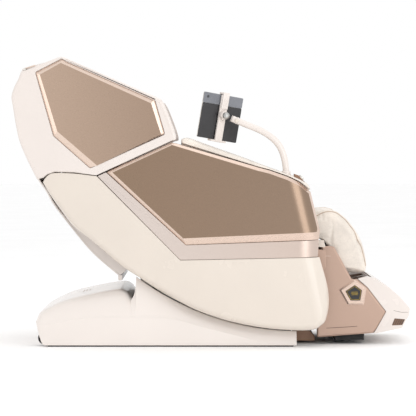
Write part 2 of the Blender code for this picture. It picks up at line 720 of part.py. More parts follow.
def seat_frame():
    """Pan under the cushion, side plates with guide shoes and leg rest bosses, actuator lug."""
    pan = [(-0.214, 0.2955), (0.2080, 0.3540), (0.2080, 0.3480), (-0.214, 0.2895)]
    frame = slab("seat_frame", pan, -0.3010, 0.3010)
    plate = [
        (-0.300, 0.410), (-0.300, 0.335), (-0.232, 0.252), (-0.140, 0.200), (0.100, 0.115),
        (0.300, 0.088), (0.400, 0.205), (0.4620, 0.330), (0.4620, 0.388), (0.380, 0.398),
        (0.100, 0.375), (-0.190, 0.375), (-0.200, 0.410),
    ]
    for side in (-1, 1):
        y_in, y_out = sorted((side * 0.3000, side * 0.3055))
        frame = join(frame, slab("plate", plate, y_in, y_out))
        for x_low, x_high in ((-0.205, -0.135), (0.230, 0.300)):
            y_in, y_out = sorted((side * 0.3040, side * 0.3250))
            frame = join(frame, slab("shoe", shoe_outline(x_low, x_high), y_in, y_out))
        boss = rod("boss", (LEG_X, side * 0.2535, LEG_Z), (LEG_X, side * 0.3030, LEG_Z), 0.026, 24)
        frame = join(frame, boss)
        bore = rod("bore", (LEG_X, side * 0.2400, LEG_Z), (LEG_X, side * 0.2900, LEG_Z), 0.0127, 24)
        frame = cut(frame, bore)
    lug = slab("lug", [(0.070, 0.345), (0.070, 0.172), (0.130, 0.172), (0.130, 0.345)],
               0.2890, 0.2965)
    frame = join(frame, lug)
    slot = slab("slot", [(0.0925, 0.192), (0.1095, 0.192), (0.1115, 0.221), (0.0945, 0.221)],
                0.2800, 0.3000)
    notch = box("notch", (-0.260, 0.2560, 0.260), (-0.060, 0.2999, 0.340))
    frame = cut(frame, slot, notch)
    return finished(frame, "steel_black", "chair")


def seat_cushion():
    outline = [
        (-0.200, 0.3010), (-0.190, 0.388), (-0.100, 0.410), (0.000, 0.432), (0.100, 0.456),
        (0.180, 0.478), (0.215, 0.482), (0.232, 0.466), (0.228, 0.430), (0.220, 0.390),
        (0.2080, 0.3575),
    ]
    cushion = slab("seat_cushion", outline, -SEAT_HALF, SEAT_HALF, 0.014, 3)
    return finished(cushion, "leather_brown", "chair")


def back_frame():
    """Two posts behind the back pad, tied by cross bars that carry the massage rails."""
    frame = None
    for side in (-1, 1):
        y_in, y_out = sorted((side * 0.2050, side * 0.2240))
        post = slab("post", back_outline([(-0.030, -0.062), (0.800, -0.062), (0.800, -0.090),
                                          (-0.030, -0.090)]), y_in, y_out)
        frame = post if frame is None else join(frame, post)
    for s in (-0.020, 0.240, 0.500, 0.760):
        bar = slab("bar", back_outline([(s, -0.1400), (s + 0.030, -0.1400),
                                        (s + 0.030, -0.160), (s, -0.160)]),
                   -0.2240, 0.2240)
        for side in (-1, 1):
            y_in, y_out = sorted((side * 0.2052, side * 0.2238))
            tie = slab("tie", back_outline([(s + 0.002, -0.080), (s + 0.028, -0.080),
                                            (s + 0.028, -0.150), (s + 0.002, -0.150)]),
                       y_in, y_out)
            bar = join(bar, tie)
        frame = join(frame, bar)
    for side in (-1, 1):
        y_in, y_out = sorted((side * 0.1500, side * 0.1660))
        rail = slab("rail", back_outline([(0.010, -0.1050), (0.785, -0.1050), (0.785, -0.1450),
                                          (0.010, -0.1450)]), y_in, y_out)
        frame = join(frame, rail)
        y_in, y_out = sorted((side * 0.2230, side * 0.2997))
        foot = slab("foot", back_outline([(0.000, -0.066), (0.026, -0.066), (0.026, -0.086),
                                          (0.000, -0.086)]), y_in, y_out)
        frame = join(frame, foot)
    frame.name = "back_frame"
    return finished(frame, "steel_black", "chair")


def back_pad():
    corners = [
        (0.000, -0.012), (0.012, 0.000), (0.100, 0.014), (0.220, 0.020), (0.360, 0.012),
        (0.520, 0.000), (0.785, 0.000), (0.800, -0.014), (0.800, -0.055), (0.000, -0.055),
    ]
    pad = slab("back_pad", back_outline(corners), -0.2350, 0.2350, 0.012, 3)
    return finished(pad, "leather_brown", "chair")


def head_pillow():
    corners = [
        (0.570, 0.0010), (0.575, 0.030), (0.610, 0.050), (0.680, 0.056), (0.740, 0.044),
        (0.770, 0.020), (0.770, 0.0010),
    ]
    pillow = slab("head_pillow", back_outline(corners), -0.150, 0.150, 0.012, 3)
    return finished(pillow, "leather_cream", "chair")


def shoulder_airbag():
    """Padded inner side of the wing, beside the head and the upper arm."""
    outline = [
        (-0.728, 1.088), (-0.615, 1.148), (-0.600, 1.150), (-0.244, 0.996), (-0.216, 0.974),
        (-0.172, 0.868), (-0.206, 0.846), (-0.462, 0.728), (-0.640, 0.760), (-0.745, 0.900),
        (-0.770, 1.010),
    ]
    pad = slab("pad", outline, -0.2990, -0.2430, 0.016, 3)
    return pair(pad, "leather_cream", "chair", "shoulder_airbag")


CAR_S = 0.130
ARM_OFF = -0.100
WHEEL_OFF = -0.093
WHEEL_S = 0.052


def cross_rod(name, s, offset, y_start, y_end, radius, segments=SEGMENTS):
    """A cylinder across the chair at a place of the back."""
    return rod(name, back_point(s, offset, y_start), back_point(s, offset, y_end), radius, segments)


def massage_carriage():
    plate = back_outline([(CAR_S - 0.080, -0.1275), (CAR_S + 0.080, -0.1275),
                          (CAR_S + 0.080, -0.1380), (CAR_S - 0.080, -0.1380)])
    carriage = slab("massage_carriage", plate, -0.1492, 0.1492)
    motor = back_outline([(CAR_S - 0.050, -0.0950), (CAR_S + 0.050, -0.0950),
                          (CAR_S + 0.050, -0.1300), (CAR_S - 0.050, -0.1300)])
    carriage = join(carriage, slab("motor", motor, -0.0380, 0.0380, 0.004, 1))
    for side in (-1, 1):
        y_in, y_out = sorted((side * 0.0500, side * 0.0590))
        lug = back_outline([(CAR_S - 0.014, -0.0880), (CAR_S + 0.014, -0.0880),
                            (CAR_S + 0.014, -0.1300), (CAR_S - 0.014, -0.1300)])
        carriage = join(carriage, slab("lug", lug, y_in, y_out))
        pin = cross_rod("pin", CAR_S, ARM_OFF, side * 0.0550, side * 0.0790, 0.0050, 16)
        carriage = join(carriage, pin)
    return finished(carriage, "black_plastic", "massage_carriage")


def massage_arm():
    """Rocking arm with an axle stub for a kneading wheel at each end."""
    corners = [
        (CAR_S - 0.060, -0.084), (CAR_S - 0.052, -0.082), (CAR_S, -0.090), (CAR_S + 0.052, -0.082),
        (CAR_S + 0.060, -0.084), (CAR_S + 0.060, -0.103), (CAR_S + 0.012, -0.114),
        (CAR_S - 0.012, -0.114), (CAR_S - 0.060, -0.103),
    ]
    arm = slab("arm", back_outline(corners), -0.0740, -0.0640)
    arm = cut(arm, cross_rod("bore", CAR_S, ARM_OFF, -0.0500, -0.0900, 0.0056, 16))
    for step in (-WHEEL_S, WHEEL_S):
        stub = cross_rod("stub", CAR_S + step, WHEEL_OFF, -0.0700, -0.1010, 0.0040, 12)
        arm = join(arm, stub)
    arm.name = "massage_arm_right"
    twin = mirrored(arm, "massage_arm_left")
    finished(twin, "black_plastic", "massage_arm_left")
    return finished(arm, "black_plastic", "massage_arm_right")


def kneading_wheels():
    for where, step in (("lower", -WHEEL_S), ("upper", WHEEL_S)):
        wheel = cross_rod("wheel", CAR_S + step, WHEEL_OFF, -0.0985, -0.0775, 0.026, 20)
        wheel = with_bevel(wheel, 0.006, 1)
        bore = cross_rod("bore", CAR_S + step, WHEEL_OFF, -0.1100, -0.0600, 0.0046, 12)
        wheel = cut(wheel, bore)
        wheel.name = "kneading_wheel_" + where + "_right"
        twin = mirrored(wheel, "kneading_wheel_" + where + "_left")
        finished(twin, "leather_cream", "knead_" + where + "_left")
        finished(wheel, "leather_cream", "knead_" + where + "_right")


# ---------------------------------------------------------------- arm controls

POD_N = Vector((0.737, 0.0, 0.676)).normalized()
POD_FACE = Vector((0.361, 0.0, 0.688))
DIAL_Y = -0.298
START_Y = -0.340


def control_pod():
    outline = [
        (0.3330, 0.6580), (0.3520, 0.6510), (0.3720, 0.6360), (0.3720, 0.6760), (0.3500, 0.7000),
        (0.3330, 0.7060),
    ]
    pod = slab("control_pod", outline, -0.3640, -0.2740, 0.0012, 1)
    centre = POD_FACE + Vector((0, START_Y, 0))
    pod = cut(pod, rod("hole", centre - POD_N * 0.0062, centre + POD_N * 0.01, 0.0073, 20))
    centre = POD_FACE + Vector((0, DIAL_Y, 0))
    pod = cut(pod, rod("hole", centre - POD_N * 0.0082, centre + POD_N * 0.01, 0.0034, 16))
    return finished(pod, "leather_brown", "chair")


def control_buttons():
    centre = POD_FACE + Vector((0, START_Y, 0))
    button = rod("start_button", centre - POD_N * 0.0038, centre + POD_N * 0.0022, 0.0068, 20)
    button = with_bevel(button, 0.0008, 1)
    finished(button, "strip_metal", "start_button")
    centre = POD_FACE + Vector((0, DIAL_Y, 0))
    dial = rod("jog_dial", centre + POD_N * 0.0006, centre + POD_N * 0.0090, 0.0120, 24)
    dial = with_bevel(dial, 0.0010, 1)
    dial = join(dial, rod("stem", centre - POD_N * 0.0075, centre + POD_N * 0.0030, 0.0029, 16))
    return finished(dial, "strip_metal", "jog_dial")


# ---------------------------------------------------------------- tablet arm

TAB_X = 0.300
TAB_Y = -0.335
BALL = Vector((0.055, -0.335, 0.943))
BALL_R = 0.0150
TABLET_YAW = math.radians(32.6)
TABLET_ROLL = math.radians(8.0)
TABLET_LEAN = math.radians(5.0)


def tablet_frame():
    """Axes of the tablet: first along its width, second up, third out of its back."""
    width = Vector((math.cos(TABLET_YAW), math.sin(TABLET_YAW), 0.0))
    back = Vector((math.sin(TABLET_YAW), -math.cos(TABLET_YAW), 0.0))
    up = Vector((0.0, 0.0, 1.0))
    basis = Matrix((width, up, back)).transposed().to_4x4()
    roll = Matrix.Rotation(-TABLET_ROLL, 4, "Z")
    lean = Matrix.Rotation(TABLET_LEAN, 4, "X")
    return Matrix.Translation(BALL) @ basis @ roll @ lean


def placed(obj, matrix):
    obj.data.transform(matrix)
    return obj


def ball(name, centre, radius, segments=16, rings=8):
    mesh = bpy.data.meshes.new(name)
    work = bmesh.new()
    bmesh.ops.create_uvsphere(work, u_segments=segments, v_segments=rings, radius=radius)
    bmesh.ops.translate(work, vec=centre, verts=work.verts)
    work.to_mesh(mesh)
    work.free()
    solid = bpy.data.objects.new(name, mesh)
    bpy.context.scene.collection.objects.link(solid)
    return solid


def tablet_arm():
    """Bent tube on a turning collar."""
    line = [
        (0.300, 0.690), (0.300, 0.715), (0.2975, 0.742), (0.2920, 0.772), (0.2800, 0.806),
        (0.2620, 0.834), (0.2370, 0.857), (0.2050, 0.878), (0.1700, 0.894), (0.1300, 0.910),
        (0.0740, 0.9330),
    ]
    arm = tube("tablet_arm", [(x, TAB_Y, z) for x, z in line], 0.0132, 2)
    arm = join(arm, rod("collar", (TAB_X, TAB_Y, 0.6765), (TAB_X, TAB_Y, 0.7180), 0.0188, 24))
    arm = cut(arm, ball("seat", BALL, BALL_R + 0.0007))
    return finished(arm, "cream_light", "tablet_arm")


def tablet_knuckle():
    return finished(ball("tablet_knuckle", BALL, BALL_R), "steel_zinc", "tablet_knuckle")


def tablet_clamp():
    """Bar behind the tablet with a ball socket and a fixed lower shelf."""
    bar = box("tablet_clamp", (-0.0170, -0.1120, -0.0360), (0.0170, 0.0830, -0.0250), 0.002, 1)
    shelf = box("shelf", (-0.0370, -0.1110, -0.0520), (0.0370, -0.1035, -0.0255))
    lip = box("lip", (-0.0370, -0.1110, -0.0530), (0.0370, -0.0930, -0.0490))
    socket = rod("socket", (0, 0, -0.0270), (0, 0, -0.0030), 0.0190, 24)
    bar = join(bar, shelf, lip, socket)
    bar = cut(bar, ball("hollow", (0, 0, 0), BALL_R + 0.0007))
    placed(bar, tablet_frame())
    return finished(bar, "cream_light", "tablet_clamp")


def clamp_jaw():
    """Sprung upper jaw: a plate that slides on the bar, with a hook over the tablet's top edge."""
    plate = box("clamp_jaw", (-0.0150, 0.0260, -0.0245), (0.0150, 0.0930, -0.0195))
    top = box("top", (-0.0150, 0.0850, -0.0530), (0.0150, 0.0930, -0.0200))
    lip = box("lip", (-0.0150, 0.0740, -0.0530), (0.0150, 0.0920, -0.0490))
    jaw = join(plate, top, lip)
    placed(jaw, tablet_frame())
    return finished(jaw, "cream_light", "clamp_jaw")


def tablet():
    slate = box("tablet", (-0.0950, -0.1030, -0.0480), (0.0950, 0.0830, -0.0390), 0.0015, 1)
    placed(slate, tablet_frame())
    return finished(slate, "glass_black", "tablet_clamp")


# ---------------------------------------------------------------- leg rest and foot unit

def leg_frame():
    """Upright plate with the pivot axle and two slide ribs for the foot unit."""
    outline = [
        (0.450, 0.060), (0.464, 0.060), (0.464, 0.300), (0.456, 0.372), (0.440, 0.380),
        (0.418, 0.378), (0.412, 0.345), (0.436, 0.335), (0.450, 0.300),
    ]
    frame = slab("leg_frame", outline, -0.1900, 0.1900)
    frame = join(frame, rod("axle", (LEG_X, -0.2880, LEG_Z), (LEG_X, 0.2880, LEG_Z), 0.0120, 24))
    for side in (-1, 1):
        y_in, y_out = sorted((side * 0.0900, side * 0.1100))
        frame = join(frame, box("rib", (0.463, y_in, 0.070), (0.4760, y_out, 0.285)))
    return finished(frame, "steel_black", "leg_rest")


CALF_Y_IN = 0.030
CALF_Y_OUT = 0.160


def calf_pad():
    """Knee roll and calf pad in one, with a channel for each calf."""
    outline = [
        (0.637, 0.2920), (0.642, 0.326), (0.627, 0.402), (0.596, 0.473), (0.560, 0.522),
        (0.520, 0.555), (0.489, 0.562), (0.462, 0.558), (0.429, 0.546), (0.380, 0.535),
        (0.330, 0.508), (0.290, 0.468), (0.262, 0.420), (0.250, 0.375), (0.256, 0.346),
        (0.300, 0.346), (0.340, 0.408), (0.396, 0.438), (0.450, 0.430), (0.484, 0.392),
        (0.484, 0.2920),
    ]
    pad = rounded_slab("calf_pad", outline, -CALF_HALF, CALF_HALF, 0.012, 2, both=True)
    for side in (-1, 1):
        y_in, y_out = sorted((side * CALF_Y_IN, side * CALF_Y_OUT))
        channel = box("channel", (0.535, y_in, 0.200), (0.760, y_out, 0.720), 0.028, 3)
        pad = cut(pad, channel)
    return finished(pad, "leather_brown", "leg_rest")


LEG_SPLIT = [(0.5960, 0.2700), (0.6400, 0.2340), (0.7160, 0.1350), (0.6760, 0.0640),
             (0.6640, 0.0470)]


def leg_side_panel():
    """Side plate of the foot unit with a raised five-sided badge."""
    outline = [
        (0.4480, 0.4060), (0.4940, 0.4060), (0.5030, 0.4020), (0.5740, 0.2710), (0.5870, 0.2690),
        *LEG_SPLIT, (0.4310, 0.0290), (0.4310, 0.3420), (0.4480, 0.3420),
    ]
    panel = slab("leg_panel", outline, -0.2495, -0.2285, 0.003, 1)
    housing = [(0.587, 0.265), (0.634, 0.231), (0.623, 0.164), (0.560, 0.164), (0.525, 0.226)]
    panel = join(panel, slab("housing", housing, -0.2535, -0.2480))
    centre_x = sum(x for x, _ in housing) / 5
    centre_z = sum(z for _, z in housing) / 5
    window = [(centre_x + (x - centre_x) * 0.72, centre_z + (z - centre_z) * 0.72)
              for x, z in housing]
    panel = cut(panel, slab("window", window, -0.2600, -0.2515))
    return pair(panel, "champagne", "foot_unit", "leg_side_panel")


def foot_outline():
    return [
        (0.4850, 0.2560), (0.5300, 0.2620), (0.5960, 0.2690), (0.6400, 0.2820), (0.6720, 0.2730),
        (0.7290, 0.2370), (0.7740, 0.1980), (0.8176, 0.1480), (0.8110, 0.1180), (0.7930, 0.0880),
        (0.7830, 0.0680), (0.6760, 0.0460), (0.4850, 0.0345),
    ]


def foot_shell():
    """Cream shell round both feet, with slide blocks behind and the roller shaft inside."""
    shell = slab("foot_shell", foot_outline(), -0.2280, 0.2280, 0.006, 1)
    split = [(x + 0.0010, z + 0.0010) for x, z in LEG_SPLIT[:3]]
    split += [(x + 0.0010, z - 0.0004) for x, z in LEG_SPLIT[3:]]
    nose = [
        (0.6640, 0.0446), (0.6760, 0.0462), (0.7830, 0.0680), (0.7930, 0.0880), (0.8110, 0.1180),
        (0.8176, 0.1480), (0.7740, 0.1980), (0.7290, 0.2370), (0.6720, 0.2720), (0.6400, 0.2810),
        (0.5980, 0.2720),
    ]
    cheeks = slab("cheeks", split[1:4] + nose[1:], -0.2480, 0.2480, 0.003, 1)
    shell = join(shell, cheeks)
    cavity = [
        (0.4970, 0.3200), (0.4970, 0.0620), (0.7550, 0.0680), (0.7850, 0.1050), (0.7750, 0.1600),
        (0.7200, 0.2140), (0.6600, 0.2560), (0.6600, 0.3200),
    ]
    shell = cut(shell, slab("cavity", cavity, -0.2150, 0.2150))
    shell = cut(shell, box("roller_pocket", (0.5980, -0.1760, 0.0520), (0.6420, 0.1760, 0.0800)))
    shell = join(shell, rod("shaft", (ROLLER_X, -0.2200, ROLLER_Z), (ROLLER_X, 0.2200, ROLLER_Z),
                            0.0040, 12))
    for y in (-0.1160, -0.0840, 0.0840, 0.1160):
        shell = join(shell, box("block", (0.4670, y - 0.0050, 0.100), (0.4870, y + 0.0050, 0.220)))
    return finished(shell, "cream_light", "foot_unit")


ROLLER_X = 0.620
ROLLER_Z = 0.0720
ROLLER_R = 0.0180


def foot_lining():
    """Soft lining of the foot shell with one well for each foot."""
    outline = [
        (0.4980, 0.2640), (0.4980, 0.0630), (0.7545, 0.0690), (0.7840, 0.1055), (0.7738, 0.1590),
        (0.7190, 0.2130), (0.6590, 0.2545), (0.6590, 0.2700), (0.6400, 0.2720), (0.5960, 0.2640),
    ]
    lining = slab("foot_lining", outline, -0.2140, 0.2140)
    well = [
        (0.5120, 0.3200), (0.5120, 0.0800), (0.7400, 0.0820), (0.7660, 0.1080), (0.7560, 0.1500),
        (0.7050, 0.2000), (0.6440, 0.2420), (0.6440, 0.3200),
    ]
    for side in (-1, 1):
        y_in, y_out = sorted((side * 0.0300, side * 0.1650))
        lining = cut(lining, slab("well", well, y_in, y_out))
        y_in, y_out = sorted((side * 0.0410, side * 0.1540))
        lining = cut(lining, box("slot", (0.5985, y_in, 0.050), (0.6415, y_out, 0.100)))
    lining = cut(lining, box("shaft_way", (0.6145, -0.2300, 0.050), (0.6255, 0.2300, 0.0775)))
    return finished(lining, "leather_brown", "foot_unit")


def foot_rollers():
    """Ribbed rollers under the soles, turning on the shaft."""
    for side, name in ((-1, "right"), (1, "left")):
        roller = rod("foot_roller", (ROLLER_X, side * 0.0450, ROLLER_Z),
                     (ROLLER_X, side * 0.1500, ROLLER_Z), ROLLER_R - 0.0030, 16)
        for step in (0.066, 0.129):
            ring = rod("ring", (ROLLER_X, side * (step - 0.006), ROLLER_Z),
                       (ROLLER_X, side * (step + 0.006), ROLLER_Z), ROLLER_R, 16)
            roller = join(roller, ring)
        bore = rod("bore", (ROLLER_X, side * 0.0300, ROLLER_Z), (ROLLER_X, side * 0.1700, ROLLER_Z),
                   0.0046, 12)
        roller = cut(roller, bore)
        roller.name = "foot_roller_" + name
        finished(roller, "black_plastic", "foot_roller_" + name)


def rubber_foot():
    outline = [(0.5080, 0.0160), (0.6280, 0.0160), (0.6280, 0.0410), (0.5080, 0.0340)]
    pad = slab("leg_rubber_foot", outline, -0.2200, 0.2200)
    return finished(pad, "black_rubber", "foot_unit")


# ---------------------------------------------------------------- assembly

def add_bodies():
    add_body("base", (0.0, 0.0, 0.0))
    add_body("power_switch", (SWITCH_X + 0.0045, SWITCH_Y, SWITCH_Z))
    add_body("wheel_right", (WHEEL_X, -0.299, WHEEL_Z))
    add_body("wheel_left", (WHEEL_X, 0.299, WHEEL_Z))
    add_body("recline_rod", ACT_END)
    add_body("chair", (ARC_X, 0.0, ARC_Z))
    add_body("massage_carriage", back_point(CAR_S, ARM_OFF))
    for side, sign in (("right", -1), ("left", 1)):
        add_body("massage_arm_" + side, back_point(CAR_S, ARM_OFF, sign * 0.069))
        for where, step in (("lower", -WHEEL_S), ("upper", WHEEL_S)):
            add_body("knead_" + where + "_" + side,
                     back_point(CAR_S + step, WHEEL_OFF, sign * 0.088))
        add_body("foot_roller_" + side, (ROLLER_X, sign * 0.0975, ROLLER_Z))
    for name, y in (("start_button", START_Y), ("jog_dial", DIAL_Y)):
        add_body(name, POD_FACE + Vector((0.0, y, 0.0)))
    add_body("tablet_arm", (TAB_X, TAB_Y, 0.700))
    add_body("tablet_knuckle", BALL)
    add_body("tablet_clamp", BALL)
    add_body("clamp_jaw", BALL)
    add_body("leg_rest", (LEG_X, 0.0, LEG_Z))
    add_body("foot_unit", (0.450, 0.0, 0.200))


def build():
    clear_scene()
    add_bodies()
    for make in (
        side_cover, rear_hood, base_frame, transport_wheel, foot_strip, front_bracket,
        air_pump, power_module, power_switch, recline_actuator,
        side_shell, trim_strip, arm_panel, armrest_pads, arm_liner, back_cover, shoulder_shell,
        shoulder_panel, seat_frame, seat_cushion, back_frame, back_pad, head_pillow,
        shoulder_airbag, massage_carriage, massage_arm, kneading_wheels,
        control_pod, control_buttons, tablet_arm, tablet_knuckle, tablet_clamp, clamp_jaw, tablet,
        leg_frame, calf_pad, leg_side_panel, foot_shell, foot_lining, foot_rollers, rubber_foot,
    ):
        make()
    collection = bpy.data.collections.new("massage_chair")
    bpy.context.scene.collection.children.link(collection)
    for obj in list(bpy.context.scene.collection.objects):
        collection.objects.link(obj)
        bpy.context.scene.collection.objects.unlink(obj)


build()
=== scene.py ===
"""Looks of the massage chair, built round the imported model.

The chair faces +X, +Y is to the sitter's left, +Z is up. Metres. Every shell, pad and trim part
is modelled here again in fine detail on its CAD body; the frames and drives keep their CAD mesh
and get their finishes.
"""

import json
import math

import bmesh
import bpy
from mathutils import Matrix, Vector
from mathutils.bvhtree import BVHTree

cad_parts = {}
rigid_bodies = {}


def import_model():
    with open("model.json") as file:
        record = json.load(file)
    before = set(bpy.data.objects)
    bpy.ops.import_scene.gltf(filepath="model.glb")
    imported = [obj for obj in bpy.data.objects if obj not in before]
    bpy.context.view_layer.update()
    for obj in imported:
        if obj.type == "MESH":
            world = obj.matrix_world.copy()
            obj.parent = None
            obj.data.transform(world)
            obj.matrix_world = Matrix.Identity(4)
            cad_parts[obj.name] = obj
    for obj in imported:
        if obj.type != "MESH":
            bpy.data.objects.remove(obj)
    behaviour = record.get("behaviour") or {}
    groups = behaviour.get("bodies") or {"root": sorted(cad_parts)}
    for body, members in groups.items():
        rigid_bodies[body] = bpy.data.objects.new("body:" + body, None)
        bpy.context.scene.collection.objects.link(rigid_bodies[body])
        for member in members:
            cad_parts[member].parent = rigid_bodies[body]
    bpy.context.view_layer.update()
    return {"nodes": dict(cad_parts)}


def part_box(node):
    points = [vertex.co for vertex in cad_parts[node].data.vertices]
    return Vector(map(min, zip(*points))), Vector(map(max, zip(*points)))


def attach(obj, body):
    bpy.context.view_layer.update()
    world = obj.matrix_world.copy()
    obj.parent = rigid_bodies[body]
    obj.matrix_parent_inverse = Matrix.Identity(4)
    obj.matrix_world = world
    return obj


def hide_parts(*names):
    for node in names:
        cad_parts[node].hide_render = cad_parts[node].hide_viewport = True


for startup_object in list(bpy.data.objects):
    bpy.data.objects.remove(startup_object, do_unlink=True)

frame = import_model()
NODES = frame["nodes"]

# Centre of the arc that the body slides on, and the leg rest's pivot
ARC_X, ARC_Z = 0.358, 1.183
LEG_X, LEG_Z = 0.432, 0.359

# Line of the back pad's front surface
BACK_X, BACK_Z = -0.170, 0.420
BACK_U = Vector((-0.563, 0.0, 0.826)).normalized()
BACK_N = Vector((0.826, 0.0, 0.563)).normalized()


# ---------------------------------------------------------------- materials

def srgb(red, green, blue):
    """A linear colour from 0-255 display values."""
    linear = []
    for value in (red / 255, green / 255, blue / 255):
        low = value <= 0.04045
        linear.append(value / 12.92 if low else ((value + 0.055) / 1.055) ** 2.4)
    return (*linear, 1.0)


def tinted(colour, factor):
    return (*[min(c * factor, 1.0) for c in colour[:3]], 1.0)


class Finish:
    """A Principled material whose colour, roughness and relief come from procedural nodes."""

    def __init__(self, name, metallic=0.0, coat=0.0, sheen=0.0):
        self.material = bpy.data.materials.new(name)
        self.material.use_nodes = True
        self.tree = self.material.node_tree
        self.shader = self.tree.nodes["Principled BSDF"]
        self.shader.inputs["Metallic"].default_value = metallic
        self.shader.inputs["Coat Weight"].default_value = coat
        self.shader.inputs["Coat Roughness"].default_value = 0.08
        self.shader.inputs["Sheen Weight"].default_value = sheen
        self.place = self.tree.nodes.new("ShaderNodeTexCoord").outputs["Object"]
        self.height = None

    def link(self, source, target):
        self.tree.links.new(source, target)

    def stretched(self, scale):
        node = self.tree.nodes.new("ShaderNodeMapping")
        node.inputs["Scale"].default_value = scale
        self.link(self.place, node.inputs["Vector"])
        return node.outputs["Vector"]

    def noise(self, scale, detail=3.0, place=None):
        node = self.tree.nodes.new("ShaderNodeTexNoise")
        node.inputs["Scale"].default_value = scale
        node.inputs["Detail"].default_value = detail
        self.link(place or self.place, node.inputs["Vector"])
        return node.outputs["Fac"]

    def cells(self, scale, feature="DISTANCE_TO_EDGE", place=None):
        node = self.tree.nodes.new("ShaderNodeTexVoronoi")
        node.feature = feature
        node.inputs["Scale"].default_value = scale
        self.link(place or self.place, node.inputs["Vector"])
        return node.outputs["Distance"]

    def span(self, value, from_low, from_high, to_low, to_high):
        node = self.tree.nodes.new("ShaderNodeMapRange")
        for key, number in (("From Min", from_low), ("From Max", from_high),
                            ("To Min", to_low), ("To Max", to_high)):
            node.inputs[key].default_value = number
        self.link(value, node.inputs["Value"])
        return node.outputs["Result"]

    def ramp(self, value, stops):
        node = self.tree.nodes.new("ShaderNodeValToRGB")
        elements = node.color_ramp.elements
        while len(elements) < len(stops):
            elements.new(0.5)
        for element, (position, colour) in zip(elements, stops):
            element.position = position
            element.color = colour
        self.link(value, node.inputs["Fac"])
        return node.outputs["Color"]

    def mix(self, factor, first, second, kind="MIX"):
        node = self.tree.nodes.new("ShaderNodeMix")
        node.data_type = "RGBA"
        node.blend_type = kind
        self.link(factor, node.inputs["Factor"])
        self.link(first, node.inputs["A"])
        self.link(second, node.inputs["B"])
        return node.outputs["Result"]

    def colour(self, value):
        self.link(value, self.shader.inputs["Base Color"])

    def rough(self, low, high, scale):
        self.link(self.span(self.noise(scale), 0.3, 0.7, low, high),
                  self.shader.inputs["Roughness"])

    def relief(self, value, distance, strength=0.5):
        node = self.tree.nodes.new("ShaderNodeBump")
        node.inputs["Distance"].default_value = distance
        node.inputs["Strength"].default_value = strength
        self.link(value, node.inputs["Height"])
        if self.height is not None:
            self.link(self.height, node.inputs["Normal"])
        self.height = node.outputs["Normal"]
        self.link(self.height, self.shader.inputs["Normal"])

    def worn_edges(self, colour, lighter, amount=0.35):
        """Lightens sharp convex edges a little, where handling polishes them."""
        geometry = self.tree.nodes.new("ShaderNodeNewGeometry")
        edge = self.span(geometry.outputs["Pointiness"], 0.52, 0.60, 0.0, amount)
        light = self.ramp(edge, [(0.0, lighter), (1.0, lighter)])
        return self.mix(edge, colour, light)


def moulded_gloss(name, colour, rough=(0.24, 0.28), coat=0.25):
    """Painted glossy moulding: faint cloudiness, orange peel and fine dust in the roughness."""
    finish = Finish(name, coat=coat)
    cloud = finish.ramp(finish.noise(5.0, 4.0), [(0.35, tinted(colour, 0.985)),
                                                 (0.65, tinted(colour, 1.01))])
    speck = finish.span(finish.noise(700.0, 1.0), 0.70, 0.78, 0.0, 0.03)
    dust = finish.ramp(finish.noise(90.0), [(0.4, tinted(colour, 0.90)),
                                            (0.6, tinted(colour, 0.96))])
    cloud = finish.mix(speck, cloud, dust)
    finish.colour(finish.worn_edges(cloud, tinted(colour, 1.04), 0.20))
    finish.rough(rough[0], rough[1], 9.0)
    finish.relief(finish.noise(420.0, 2.0), 0.00002, 0.10)
    return finish.material


def satin_metal(name, colour, painted_shade_colour, rough=(0.26, 0.36), metallic=0.85, direction=(1.0, 0.0, 0.0)):
    """Fine metallic lacquer: painted shade that darkens from the colour to a second colour along the
    part, standing in for its fading reflection; flake and hairline brushing.
    """
    finish = Finish(name, metallic=metallic, coat=0.25)
    # Painted shade: the colour turns to the darker second colour towards +X, as the reflection falls
    # off.
    painted_shade_axis = finish.tree.nodes.new("ShaderNodeVectorMath")
    painted_shade_axis.operation = "DOT_PRODUCT"
    painted_shade_axis.inputs[1].default_value = direction
    finish.link(finish.place, painted_shade_axis.inputs[0])
    tone = finish.span(painted_shade_axis.outputs["Value"], -0.7, 0.4, 0.0, 1.0)
    painted_shade_tones = finish.ramp(tone, [(0.0, colour), (1.0, painted_shade_colour)])
    flake = finish.ramp(finish.cells(2600.0, "F1"), [(0.0, (1.06, 1.05, 1.04, 1.0)),
                                                     (0.6, (0.94, 0.94, 0.94, 1.0))])
    half = finish.span(finish.noise(3.0), 0.0, 1.0, 0.9, 1.0)
    painted_shade_tones = finish.mix(half, painted_shade_tones, flake, "MULTIPLY")
    finish.colour(painted_shade_tones)
    brushed = finish.noise(60.0, 3.0, finish.stretched((1.0, 30.0, 30.0)))
    finish.link(finish.span(brushed, 0.3, 0.7, rough[0], rough[1]),
                finish.shader.inputs["Roughness"])
    finish.relief(brushed, 0.00003, 0.18)
    finish.relief(finish.noise(1400.0, 1.0), 0.00002, 0.20)
    return finish.material


